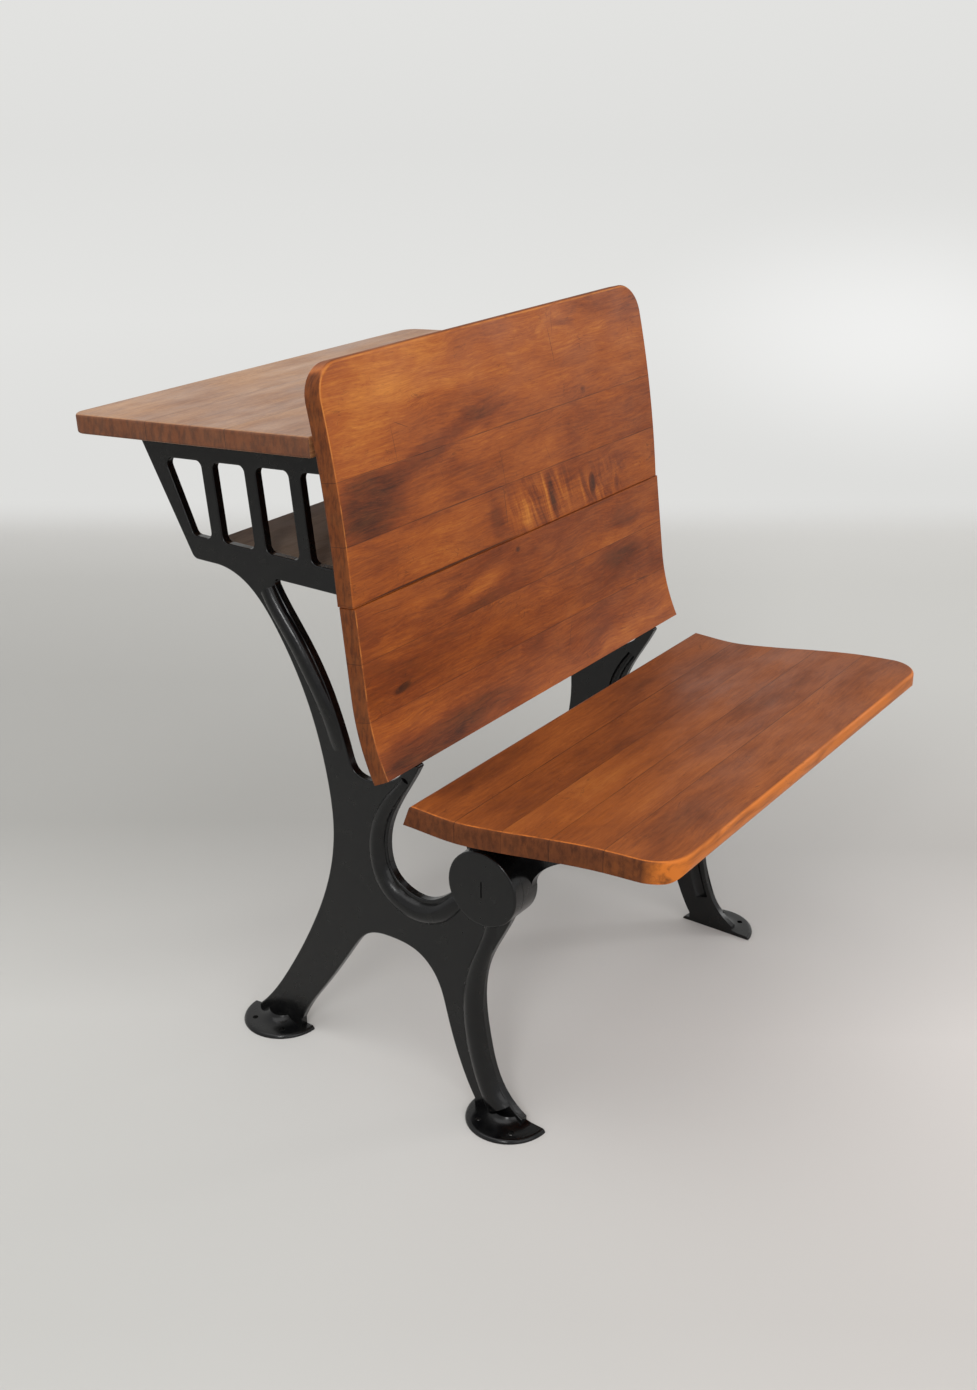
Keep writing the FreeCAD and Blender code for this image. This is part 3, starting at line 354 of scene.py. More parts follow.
# How far a surface faces along the board, 0 on its face and 1 on its sawn end: where the
# end starts and is whole, and where the worn arris beside it comes and goes
END_BAND = (0.55, 0.75)
ARRIS_RISE = (0.3, 0.42)
ARRIS_FALL = (0.5, 0.64)
# Where a front edge turns from the top to face forward
NOSE_BAND = (-0.12, -0.6)
# Levels of the noise that the dark year rings of an end fade in between
RING_BAND = (0.43, 0.6)
# Size of the rings on the end of an upright and of a flat board, by depth and height,
# and how many follow each other in a millimetre along the board
RINGS_UPRIGHT = (4.0, 15.0)
RINGS_FLAT = (7.0, 16.0)
RINGS_PER_MM = 0.03
# How much the end's own colour covers, the dirt in its rings and the bare arris; how
# much the rounded rim of the back counts as an end; and how much duller an end is
END_COVER = 0.94
RING_COVER = 0.5
ARRIS_COVER = 0.85
RIM_SHARE = 0.7
END_DULLING = 0.3

# Shares of a glue line, a scratch and other marks that are at full depth
SEAM_CORE = 0.4
SCRATCH_CORE = 0.55
MARK_CORE = 0.2
# Half width of a varnish crack as a share of its noise
CRACK_WIDTH = 0.011
# How far the grain sways to each side in millimetres, and how far a knot pushes it as a
# share of the knot's width
SWAY = 13.0
KNOT_PUSH = 0.9
# Directions in which one seed moves a board's patterns
SEED_SPREAD = (1.0, 0.37, 0.61)
# Least strength of a glue line, of a rubbed arris and of a worn front edge
LEAST_LINE = 0.45
LEAST_RUB = 0.05
LEAST_THIN = 0.1
# Relief of the varnished face: its depth in millimetres, how strongly it shows, and the
# shares of the fibres, which stand up, and of the cuts, which go in
RELIEF_DEPTH = 0.2
RELIEF_STRENGTH = 0.3
RIDGE_SHARE = 0.35
CUT_SHARE = -1.5


@dataclass(frozen=True)
class Grain:
    """Patterns drawn out along the grain of one board.

    place is the point on the board in metres, and bent the same point shifted across
    the grain so that the patterns wander like grown wood.
    """

    tree: Tree
    place: Socket
    bent: Socket

    def noise(self, figure: Figure) -> Socket:
        """Draws a pattern.

        Args:
            figure: its sizes.

        Returns:
            The noise, about 0.5 in the middle.
        """
        scaled = add_node(self.tree, "Mapping", {
            "Vector": self.bent, "Rotation": (0.0, -math.radians(figure.slope), 0.0),
            "Scale": (figure.length * MM, figure.width * MM, figure.width * MM)},
            vector_type="TEXTURE")
        return add_node(self.tree, "TexNoise", {
            "Vector": scaled.outputs[0], "Scale": 1.0, "Detail": figure.detail,
            "Roughness": figure.rough, "Distortion": figure.wander}).outputs[0]

    def faded(self, figure: Figure, low: Value, high: Value) -> Socket:
        """Draws a pattern that fades in within its band.

        Args:
            figure: its sizes and band.
            low: value below the band.
            high: value above it.

        Returns:
            The value.
        """
        return add_node(self.tree, "MapRange", {
            0: self.noise(figure), **limits(figure.band, low, high)}).outputs[0]


@dataclass(frozen=True)
class Board:
    """One board: its node, where its grain starts, its tone and what marks it.

    worn_front is how far its front edge is rubbed bare, and capped says that its top
    edge is the rounded rim of the back, which is darkened like a sawn end where it faces up.
    """

    node: str
    finish: Varnish
    lie: Lie
    seed: float
    tone: float = 0.0
    seams: tuple[Seam, ...] = ()
    marks: tuple[Mark, ...] = ()
    worn_front: float = 0.0
    capped: bool = False

    def spot(self, grain: Grain, mark: Mark, depth: float) -> Socket:
        """Draws where a mark lies.

        Args:
            grain: the board's grain.
            mark: the mark.
            depth: value inside it.

        Returns:
            The depth in the mark and 0 outside it.
        """
        upright = self.lie is Lie.UPRIGHT
        centre = (mark.along, 0.0, mark.across) if upright else (mark.along, mark.across, 0.0)
        halves = (mark.reach, FAR, mark.width) if upright else (mark.reach, mark.width, FAR)
        turn = math.radians(mark.turn)
        rotation = (0.0, -turn, 0.0) if upright else (0.0, 0.0, turn)
        core = SCRATCH_CORE if mark.kind is Trace.SCRATCH else MARK_CORE
        return Oval(centre, halves, core, depth, rotation).draw(grain.tree, grain.place)

    def bend(self, tree: Tree, place: Socket) -> Grain:
        """Bends the point that the grain is read at.

        Args:
            tree: the material's tree.
            place: the point on the board, in metres.

        Returns:
            The board's grain.
        """
        moved = add_node(tree, "VectorMath", {
            0: place, 1: [self.seed * share for share in SEED_SPREAD]}, operation="ADD")
        drift = Grain(tree, place, moved.outputs[0]).noise(DRIFT)
        total = weigh(tree, -SWAY * MM, (drift, 2 * SWAY * MM))
        straight = Grain(tree, place, place)
        for mark in self.marks:
            if mark.kind is Trace.KNOT:
                total = weigh(tree, total, (self.spot(straight, mark, mark.width * KNOT_PUSH), MM))
        shift = add_node(tree, "CombineXYZ", {1: total, 2: total})
        bent = add_node(tree, "VectorMath", {0: moved.outputs[0], 1: shift.outputs[0]},
                        operation="ADD")
        return Grain(tree, place, bent.outputs[0])

    def tone_of(self, grain: Grain) -> Socket:
        """Draws how light or dark the wood is.

        Args:
            grain: the board's grain.

        Returns:
            A value from 0, darkest, to 1.
        """
        look = self.finish
        patterns = ((grain.noise(CLOUDS), look.clouds), (grain.noise(MOTTLE), look.mottle),
                    (grain.noise(FLECKS), look.flecks), (grain.noise(STREAKS), look.streaks),
                    (grain.noise(FIBRES), look.fibres))
        middle = 0.5 + self.tone - sum(weight for _, weight in patterns) / 2
        tone = weigh(grain.tree, middle, *patterns)
        for mark in self.marks:
            if mark.kind is Trace.SWIRL:
                upright = weigh(grain.tree, -0.5, (grain.noise(CURL), 1.0))
                tone = weigh(grain.tree, tone, (self.spot(grain, mark, mark.depth), upright))
            elif mark.kind is not Trace.SCRATCH:
                tone = weigh(grain.tree, tone, (self.spot(grain, mark, mark.depth), -1.0))
        return tone

    def cuts(self, grain: Grain) -> Socket:
        """Draws the glue lines, the scratches and the fine cracks of old varnish.

        Args:
            grain: the board's grain.

        Returns:
            A value of 0 beside them and up to 1 in them.
        """
        tree = grain.tree
        broken = grain.faded(GAPS, LEAST_LINE, 1.0)
        lines = []
        for seam in self.seams:
            line = Oval((0.0, seam.depth_at, seam.height_at), (FAR, FAR, seam.half_width),
                        SEAM_CORE, seam.strength, (-math.radians(seam.lean), 0.0, 0.0))
            lines.append(add_node(tree, "Math", {0: line.draw(tree, grain.place), 1: broken},
                                  operation="MULTIPLY").outputs[0])
        lines += [self.spot(grain, mark, mark.depth) for mark in self.marks
                  if mark.kind is Trace.SCRATCH]

        # A crack runs wherever the noise crosses its middle, and shows where they crowd
        level = weigh(tree, -0.5, (grain.noise(CRACKS), 1.0))
        near = add_node(tree, "Math", {0: level}, operation="ABSOLUTE")
        crowded = grain.faded(CROWDS, 0.0, self.finish.crazing)
        lines.append(add_node(tree, "MapRange", {
            0: near.outputs[0], **limits((0.0, CRACK_WIDTH), crowded, 0.0)}).outputs[0])
        total = lines[0]
        for line in lines[1:]:
            total = add_node(tree, "Math", {0: total, 1: line}, operation="MAXIMUM").outputs[0]
        return total

    def facing(self, tree: Tree, axes: bpy.types.Node) -> Socket:
        """Finds how far the surface faces along the board, like its sawn end.

        Args:
            tree: the material's tree.
            axes: the node that holds the parts of the surface's direction.

        Returns:
            A value from 0 on the face to 1 on the end.
        """
        side = add_node(tree, "Math", {0: axes.outputs[0]}, operation="ABSOLUTE").outputs[0]
        if not self.capped:
            return side
        rim = weigh(tree, 0.0, (axes.outputs[2], RIM_SHARE))
        return add_node(tree, "Math", {0: side, 1: rim}, operation="MAXIMUM").outputs[0]

    def rings(self, grain: Grain) -> Socket:
        """Draws the year rings of the sawn end.

        Args:
            grain: the board's grain.

        Returns:
            The noise, about 0.5 in the middle.
        """
        depth, height = RINGS_UPRIGHT if self.lie is Lie.UPRIGHT else RINGS_FLAT
        scaled = add_node(grain.tree, "Mapping", {"Vector": grain.place, "Scale": (
            RINGS_PER_MM / MM, 1 / (depth * MM), 1 / (height * MM))})
        return add_node(grain.tree, "TexNoise", {"Vector": scaled.outputs[0], "Scale": 1.0,
                                                 "Detail": 6.0, "Roughness": 0.68}).outputs[0]

    def wear(self, grain: Grain, colour: Socket, normal: Socket) -> tuple[Socket, Socket]:
        """Darkens the sawn ends and rubs the edges bare.

        Args:
            grain: the board's grain.
            colour: the wood's colour so far.
            normal: the surface's direction.

        Returns:
            The colour with ends and edges, and how far the surface is a sawn end.
        """
        tree = grain.tree
        look = self.finish
        axes = add_node(tree, "SeparateXYZ", {0: normal})
        side = self.facing(tree, axes)
        end = add_node(tree, "MapRange", {0: side, **limits(END_BAND, 0.0, END_COVER)},
                       interpolation_type="SMOOTHSTEP").outputs[0]
        dark = add_node(tree, "MapRange", {0: self.rings(grain), **limits(RING_BAND, 0.0, end)})
        colour = tint(tree, colour, (end, look.end),
                      (weigh(tree, 0.0, (dark.outputs[0], RING_COVER)), look.line))

        rising = add_node(tree, "MapRange", {0: side, **limits(ARRIS_RISE, 0.0, ARRIS_COVER)})
        bare = add_node(tree, "MapRange", {
            0: side, **limits(ARRIS_FALL, rising.outputs[0], 0.0)})
        rubbed = grain.faded(RUBBING, LEAST_RUB, bare.outputs[0])
        colour = tint(tree, colour, (rubbed, look.arris))
        if self.worn_front:
            nose = add_node(tree, "MapRange", {
                0: axes.outputs[1], **limits(NOSE_BAND, 0.0, self.worn_front)})
            thin = grain.faded(THINNING, LEAST_THIN, nose.outputs[0])
            colour = tint(tree, colour, (thin, look.arris))
        return colour, end

    def material(self) -> bpy.types.Material:
        """Makes this board's varnished wood.

        Returns:
            The finished material.
        """
        look = self.finish
        material, tree = new_material(f"{look.name}_{self.node}")
        coordinates = add_node(tree, "TexCoord")
        grain = self.bend(tree, coordinates.outputs["Object"])
        colour = graded(tree, self.tone_of(grain), look.stops())
        colour = tint(tree, colour, (grain.faded(PORES, 0.0, look.pores), look.deep))
        colour, end = self.wear(grain, colour, coordinates.outputs["Normal"])
        cut = self.cuts(grain)
        colour = tint(tree, colour, (cut, look.line))

        # The fibres stand up a little through the varnish, and every cut goes in
        relief = weigh(tree, 0.0, (grain.noise(RIDGES), RIDGE_SHARE), (cut, CUT_SHARE))
        bump = add_node(tree, "Bump", {"Strength": RELIEF_STRENGTH,
                                       "Distance": RELIEF_DEPTH * MM, "Height": relief})
        low, high = (look.roughness + change for change in look.swing)
        polish = grain.faded(HANDLING, low, high)

        # A sawn end drinks its varnish, so it is duller than the face
        shader = add_node(tree, "BsdfPrincipled", {
            "Base Color": colour, "Roughness": weigh(tree, polish, (end, END_DULLING)),
            "Normal": bump.outputs[0], "Specular IOR Level": look.specular})
        add_node(tree, "OutputMaterial", {0: shader.outputs[0]})
        return material


@dataclass(frozen=True)
class BlackEnamel:
    """Black stove enamel on grey iron castings, with the skin of a sand casting under it.

    It gives a deep black with soft, narrow lights along beads and edges. skin and grit
    are the sizes of its waviness and its grains, grit_share the height of a grain as a
    share of a wave's, and wave_height a wave's. thin_band says where the enamel is thin,
    and swing how far the roughness falls and rises between the waves.
    """

    name: str = "black_enamel_on_cast_iron"
    colour: str = "#060607"
    thin: str = "#0c0c0b"
    thin_band: Span = (0.35, 0.7)
    skin: float = 13.0
    grit: float = 1.5
    grit_share: float = 0.2
    wave_height: float = 0.6
    relief: float = 0.05
    roughness: float = 0.22
    swing: Span = (-0.05, 0.07)
    specular: float = 0.34

    def material(self) -> bpy.types.Material:
        """Makes the enamel.

        Returns:
            The finished material.
        """
        material, tree = new_material(self.name)
        place = add_node(tree, "TexCoord").outputs["Object"]
        skin = add_node(tree, "TexNoise", {"Vector": place, "Scale": 1 / (self.skin * MM),
                                           "Detail": 3.0}).outputs[0]
        grit = add_node(tree, "TexNoise", {"Vector": place, "Scale": 1 / (self.grit * MM),
                                           "Detail": 4.0}).outputs[0]
        cloudy = add_node(tree, "MapRange", {0: skin, **limits(self.thin_band, 0.0, 1.0)})
        colour = add_node(tree, "Mix", {0: cloudy.outputs[0], 6: linear(self.colour),
                                        7: linear(self.thin)}, data_type="RGBA")
        low, high = (self.roughness + change for change in self.swing)
        gloss = add_node(tree, "MapRange", {0: skin, **limits(MOST, low, high)})
        bump = add_node(tree, "Bump", {
            "Strength": self.relief, "Distance": self.wave_height * MM,
            "Height": weigh(tree, skin, (grit, self.grit_share))})
        shader = add_node(tree, "BsdfPrincipled", {
            "Base Color": colour.outputs[2], "Roughness": gloss.outputs[0],
            "Normal": bump.outputs[0], "Specular IOR Level": self.specular})
        add_node(tree, "OutputMaterial", {0: shader.outputs[0]})
        return material


@dataclass(frozen=True)
class TurnedSteel:
    """Plain turned steel of nuts, washers and screws, dulled by age.

    It shows fine tool lines and small brown places of rust. turning is the pitch of its
    tool marks and stain the size of its rusty places. rust_band says where the rust
    starts and is full, and dulling how much rougher the dullest places are.
    """

    name: str
    colour: str
    rust: str
    roughness: float
    turning: float = 0.5
    stain: float = 6.0
    rust_band: Span = (0.52, 0.7)
    rust_cover: float = 0.7
    dulling: float = 0.25

    def material(self) -> bpy.types.Material:
        """Makes the steel.

        Returns:
            The finished material.
        """
        material, tree = new_material(self.name)
        place = add_node(tree, "TexCoord").outputs["Object"]
        stain = add_node(tree, "TexNoise", {"Vector": place, "Scale": 1 / (self.stain * MM),
                                            "Detail": 4.0}).outputs[0]
        rusty = add_node(tree, "MapRange", {
            0: stain, **limits(self.rust_band, 0.0, self.rust_cover)})
        colour = add_node(tree, "Mix", {0: rusty.outputs[0], 6: linear(self.colour),
                                        7: linear(self.rust)}, data_type="RGBA")
        lines = add_node(tree, "TexNoise", {"Vector": place,
                                            "Scale": 1 / (self.turning * MM), "Detail": 2.0})
        bump = add_node(tree, "Bump", {"Strength": 0.2, "Distance": 0.1 * MM,
                                       "Height": lines.outputs[0]})
        dull = add_node(tree, "MapRange", {
            0: stain, **limits(MOST, self.roughness, self.roughness + self.dulling)})
        shader = add_node(tree, "BsdfPrincipled", {
            "Base Color": colour.outputs[2], "Roughness": dull.outputs[0],
            "Normal": bump.outputs[0], "Metallic": 1.0})
        add_node(tree, "OutputMaterial", {0: shader.outputs[0]})
        return material


class Woodwork(ABC):
    """A wooden part of the desk, made of boards."""

    @abstractmethod
    def boards(self) -> list[Board]:
        """Lists the part's boards with their marks."""

    def build(self) -> None:
        """Dresses every board of the part."""
        for board in self.boards():
            dress(board.node, board.material())


@dataclass(frozen=True)
class SeatBack(Woodwork):
    """The seat back: where its two sections run, and the boards that they are glued from.

    toe and upper_foot are the lower ends of the sections by depth and height, the leans
    are degrees from upright, bend and upper_bend are radii, lower and upper lengths, and
    the seams stand at shares of these.
    """

    toe: tuple[float, float] = (-36.0, 399.0)
    toe_lean: float = 27.0
    lean: float = 7.0
    bend: float = 270.0
    lower: float = 195.0
    upper: float = 243.0
    upper_foot: tuple[float, float] = (5.0, 591.0)
    upper_lean: float = 4.6
    upper_bend: float = 1373.0
    lower_seams: tuple[float, ...] = (0.364, 0.697)
    upper_seams: tuple[float, ...] = (0.255, 0.522)
    lower_strength: float = 0.5
    upper_strength: float = 0.65
    # Birch under old shellac: warm and clear, with dark clouds and a soft sheen
    finish: Varnish = Varnish(
        "varnished_birch_back", deep="#411d0a", warm="#7c3912", clear="#a1531a", pale="#c87c2e",
        end="#6b3613", arris="#bf7835", line="#1d0e08", specular=0.26)

    def lower_seam(self, share: float) -> Seam:
        """Finds a glue line of the lower section.

        Args:
            share: its place along the section.

        Returns:
            The seam's plane.
        """
        run = share * self.lower
        first = math.radians(self.toe_lean)
        turn = math.radians(self.toe_lean - self.lean)
        lean = first - min(run / self.bend, turn)
        rest = max(run - self.bend * turn, 0.0)
        depth = (self.toe[0] + self.bend * (math.cos(lean) - math.cos(first))
                 + rest * math.sin(lean))
        height = (self.toe[1] + self.bend * (math.sin(first) - math.sin(lean))
                  + rest * math.cos(lean))
        return Seam(depth, height, math.degrees(lean), strength=self.lower_strength)

    def upper_seam(self, share: float) -> Seam:
        """Finds a glue line of the upper section.

        Args:
            share: its place along the section.

        Returns:
            The seam's plane.
        """
        first = math.radians(self.upper_lean)
        lean = first + share * self.upper / self.upper_bend
        depth = self.upper_foot[0] + self.upper_bend * (math.cos(first) - math.cos(lean))
        height = self.upper_foot[1] + self.upper_bend * (math.sin(lean) - math.sin(first))
        return Seam(depth, height, math.degrees(lean), strength=self.upper_strength)

    def height(self, up: float) -> float:
        """Turns a distance up the face from the open line into a height above the floor."""
        return self.upper_foot[1] + up * math.cos(math.radians(self.lean))

    def mark(self, kind: Trace, along: float, up: float, reach: float, width: float,
             turn: float = 0.0, depth: float = 0.5) -> Mark:
        """Places a mark by its distance up the face.

        Args:
            kind: what it is.
            along: its centre along the boards.
            up: its centre up the face from the open line between the sections.
            reach: its half length.
            width: its half width.
            turn: its slope in degrees.
            depth: how strongly it shows.

        Returns:
            The mark.
        """
        return Mark(kind, along, self.height(up), reach, width, turn, depth)

    def boards(self) -> list[Board]:
        """Lists the boards of both sections with their marks.

        Returns:
            Six boards.
        """
        low_a, low_b = (self.lower_seam(share) for share in self.lower_seams)
        high_a, high_b = (self.upper_seam(share) for share in self.upper_seams)
        swirl = (self.mark(Trace.SWIRL, 40, 30, 100, 60, 0, 2.0),
                 self.mark(Trace.SWIRL, 170, 20, 84, 46, 0, 1.7),
                 self.mark(Trace.STAIN, -48, 32, 20, 36, 8, 0.2),
                 self.mark(Trace.STAIN, 64, 32, 8, 42, 16, 0.36),
                 self.mark(Trace.STAIN, 12, 22, 34, 22, 10, -0.2),
                 self.mark(Trace.KNOT, 151, 24, 10, 20, 6, 0.4),
                 self.mark(Trace.KNOT, 207, 14, 8, 14, 8, 0.34),
                 self.mark(Trace.STAIN, -210, 36, 90, 22, 0, 0.06),
                 self.mark(Trace.SCRATCH, -30, 40, 0.6, 30, 4, 0.6),
                 self.mark(Trace.SCRATCH, -150, 2, 190, 1.4, 0, 0.8))
        shade = (self.mark(Trace.STAIN, -262, 98, 78, 54, 6, 0.44),
                 self.mark(Trace.STAIN, -160, 128, 96, 22, 12, 0.26),
                 self.mark(Trace.STAIN, -130, 84, 70, 14, 4, -0.1),
                 self.mark(Trace.SCRATCH, -28, 84, 0.5, 30, 6, 0.45),
                 self.mark(Trace.SCRATCH, 62, 84, 0.5, 18, 24, 0.3))
        crown = (self.mark(Trace.STAIN, -190, 206, 190, 64, 4, -0.2),
                 self.mark(Trace.STAIN, -160, 128, 96, 22, 12, 0.26),
                 self.mark(Trace.STAIN, -60, 152, 90, 18, 8, 0.18),
                 self.mark(Trace.SCRATCH, 98, 200, 0.6, 28, 4, 0.6),
                 self.mark(Trace.SCRATCH, 106, 222, 0.5, 14, -12, 0.5),
                 self.mark(Trace.SCRATCH, -208, 148, 0.5, 28, 3, 0.5),
                 self.mark(Trace.SCRATCH, -192, 166, 16, 0.6, -24, 0.45),
                 self.mark(Trace.KNOT, 150, 140, 8, 6, 0, 0.3),
                 self.mark(Trace.STAIN, 130, 222, 34, 7, -8, 0.16),
                 self.mark(Trace.STAIN, 220, 160, 80, 12, 0, 0.12))
        foot = (self.mark(Trace.STAIN, -190, -22, 60, 12, 0, -0.14),
                self.mark(Trace.STAIN, -90, -34, 84, 16, 8, -0.34),
                self.mark(Trace.STAIN, 215, -30, 80, 22, -6, 0.16),
                self.mark(Trace.KNOT, -16, -13, 7, 5, 0, 0.3),
                self.mark(Trace.STAIN, -110, -60, 130, 14, 5, 0.16),
                self.mark(Trace.SCRATCH, -255, -14, 34, 0.6, -4, 0.4))
        belly = (self.mark(Trace.KNOT, -245, -103, 20, 6, 4, 0.45),
                 self.mark(Trace.STAIN, 200, -74, 80, 24, -6, 0.2),
                 self.mark(Trace.STAIN, 40, -95, 90, 20, 0, 0.14),
                 self.mark(Trace.STAIN, 90, -120, 60, 10, -4, -0.16),
                 self.mark(Trace.SCRATCH, 245, -120, 20, 1.0, -3, 0.6))
        toe = (self.mark(Trace.STAIN, -180, -168, 210, 26, 0, 0.34),
               self.mark(Trace.STAIN, 200, -168, 100, 20, 0, -0.16),
               self.mark(Trace.SCRATCH, 70, -140, 0.6, 22, -32, 0.4),
               self.mark(Trace.STAIN, 60, -190, 320, 8, 0, -0.14))
        table = (("upper_board_1", 3.1, 0.0, (high_a,), swirl),
                 ("upper_board_2", 7.7, 0.0, (high_a, high_b), shade),
                 ("upper_board_3", 11.3, 0.06, (high_b,), crown),
                 ("lower_board_3", 15.9, -0.04, (low_b,), foot),
                 ("lower_board_2", 19.4, -0.06, (low_a, low_b), belly),
                 ("lower_board_1", 23.6, -0.05, (low_a,), toe))
        return [Board(f"back_{name}", self.finish, Lie.UPRIGHT, seed, tone, seams, marks,
                      capped=marks is crown)
                for name, seed, tone, seams, marks in table]


@dataclass(frozen=True)
class Seat(Woodwork):
    """The folding seat: its glue lines from rear to front.

    rear is where it starts and depth how deep it is, seams are shares of that, and
    front_wear is how far the varnish of the front edge is rubbed away.
    """

    rear: float = -84.0
    depth: float = 310.0
    seams: tuple[float, ...] = (0.184, 0.371, 0.555, 0.755)
    strengths: tuple[float, ...] = (1.0, 0.5, 0.85, 0.85)
    tones: tuple[float, ...] = (-0.02, -0.05, 0.0, -0.03, -0.03)
    seed: float = 31.7
    seed_step: float = 4.3
    front_wear: float = 0.95
    # The same birch, redder and duller from use, bare along its front edge
    finish: Varnish = Varnish(
        "varnished_birch_seat", deep="#44200d", warm="#743a17", clear="#8f4c1e", pale="#aa662c",
        end="#5c3118", arris="#cc7228", line="#1c0d07", roughness=0.5, specular=0.22)

    def seam(self, number: int) -> Seam:
        """Finds a glue line of the seat, counted from the rear."""
        return Seam(self.rear - self.seams[number] * self.depth, 0.0, 90.0,
                    strength=self.strengths[number])

    def boards(self) -> list[Board]:
        """Lists the seat's boards with their marks.

        Returns:
            Five boards.
        """
        marks = (
            (Mark(Trace.STAIN, -180, -104, 170, 28, 0, 0.3),
             Mark(Trace.STAIN, 120, -118, 60, 10, 0, 0.1)),
            (Mark(Trace.STAIN, 215, -170, 60, 30, 0, -0.08),
             Mark(Trace.SCRATCH, -164, -202, 3, 0.9, 0, 0.6)),
            (Mark(Trace.STAIN, -225, -232, 34, 18, 10, 0.16),
             Mark(Trace.SCRATCH, 170, -205, 6, 0.7, -12, 0.5),
             Mark(Trace.STAIN, -60, -230, 160, 14, 0, -0.06)),
            (Mark(Trace.SCRATCH, 10, -276, 26, 0.5, 0, 0.5),
             Mark(Trace.STAIN, -200, -300, 60, 9, 0, -0.1),
             Mark(Trace.SCRATCH, -110, -268, 0.5, 7, 20, 0.4)),
            (Mark(Trace.SCRATCH, 130, -337, 4, 0.9, 0, 0.6),
             Mark(Trace.SCRATCH, -180, -330, 12, 0.6, 18, 0.5),
             Mark(Trace.SCRATCH, 178, -322, 9, 0.7, 14, 0.5),
             Mark(Trace.SCRATCH, -104, -378, 5, 0.8, -20, 0.6),
             Mark(Trace.STAIN, -220, -344, 100, 26, 0, 0.28),
             Mark(Trace.STAIN, -40, -376, 320, 9, 0, -0.14)))
        boards = []
        for number, (own, tone) in enumerate(zip(marks, self.tones)):
            near = tuple(self.seam(index) for index in (number - 1, number)
                         if 0 <= index < len(self.seams))
            boards.append(Board(f"seat_board_{number + 1}", self.finish, Lie.FLAT,
                                self.seed + self.seed_step * number, tone, near, own,
                                self.front_wear if own is marks[-1] else 0.0))
        return boards


@dataclass(frozen=True)
class DeskTop(Woodwork):
    """The sloping top and its glue lines from the back to the pupil's edge.

    front and height are where it starts, slope is in degrees, and seams are shares of
    its depth.
    """

    front: float = 30.6
    height: float = 740.0
    depth: float = 355.0
    slope: float = 4.2
    seams: tuple[float, ...] = (0.33, 0.66)
    # Maple whose varnish has worn thin: pale, streaky, and shiny where the light grazes it
    finish: Varnish = Varnish(
        "worn_varnished_maple_top", deep="#5a3820", warm="#8c5f3f", clear="#aa7c54",
        pale="#c2956d", end="#6a3819", arris="#a8764e", line="#2a1911", clouds=0.7, mottle=0.35,
        streaks=0.75, fibres=0.6, roughness=0.38, specular=0.5)

    def seam(self, share: float) -> Seam:
        """Finds a glue line of the top.

        Args:
            share: its place along the slope.

        Returns:
            The seam's plane.
        """
        run = share * self.depth
        slope = math.radians(self.slope)
        return Seam(self.front + run * math.cos(slope), self.height - run * math.sin(slope),
                    90.0 + self.slope)

    def boards(self) -> list[Board]:
        """Lists the boards of the top.

        Returns:
            Three boards.
        """
        first, second = (self.seam(share) for share in self.seams)
        return [Board("desk_board_1", self.finish, Lie.FLAT, 53.0, 0.0, (first,)),
                Board("desk_board_2", self.finish, Lie.FLAT, 58.3, -0.05, (first, second)),
                Board("desk_board_3", self.finish, Lie.FLAT, 62.9, 0.02, (second,))]


@dataclass(frozen=True)
class BookShelf(Woodwork):
    """The shelf of the book box, bare and dusty, with one glue line at its middle."""

    middle: float = 128.8
    # Bare pine, greyed by dust and without sheen
    finish: Varnish = Varnish(
        "weathered_pine_shelf", deep="#3d2f27", warm="#6e5a4b", clear="#84705f", pale="#9a8673",
        end="#54423a", arris="#8d7662", line="#1c1410", roughness=0.62)

    def boards(self) -> list[Board]:
        """Lists the two boards of the shelf.

        Returns:
            Two boards.
        """
        seam = Seam(self.middle, 0.0, 90.0)
        return [Board("shelf_board_1", self.finish, Lie.FLAT, 71.0, 0.0, (seam,)),
                Board("shelf_board_2", self.finish, Lie.FLAT, 75.5, 0.04, (seam,))]


@dataclass(frozen=True)
class Ironwork:
    """The castings, pins, nuts, washers and screws."""

    enamel: BlackEnamel = BlackEnamel()
    nut_steel: TurnedSteel = TurnedSteel("aged_nut_steel", "#8f8a83", "#4b3527", 0.38)
    screw_steel: TurnedSteel = TurnedSteel("aged_screw_steel", "#9a938a", "#52392a", 0.4)

    def build(self) -> None:
        """Dresses every metal node."""
        enamel = self.enamel.material()
        nut_steel = self.nut_steel.material()
        screw_steel = self.screw_steel.material()
        for side in ("left", "right"):
            for node in (f"standard_{side}", f"seat_arm_{side}", f"pivot_pin_{side}"):
                dress(node, enamel)
            for node in (f"pivot_nut_{side}", f"pivot_washer_{side}"):
                dress(node, nut_steel)
        for node in ("desk_screws", "shelf_screws", "back_screws", "seat_screws"):
            dress(node, screw_steel)


@dataclass(frozen=True)
class SoftBox:
    """A rectangular lamp with a soft face. Its lengths are metres and its power watts."""

    name: str
    place: Point
    target: Point
    width: float
    depth: float
    power: float

    def hang(self) -> None:
        """Makes the lamp and turns it to its target."""
        data = bpy.data.lights.new(self.name, "AREA")
        data.shape = "RECTANGLE"
        data.size = self.width
        data.size_y = self.depth
        data.energy = self.power
        item = new_object(self.name, data)
        aim = Vector(self.target) - Vector(self.place)
        item.location = self.place
        item.rotation_euler = aim.to_track_quat("-Z", "Y").to_euler()


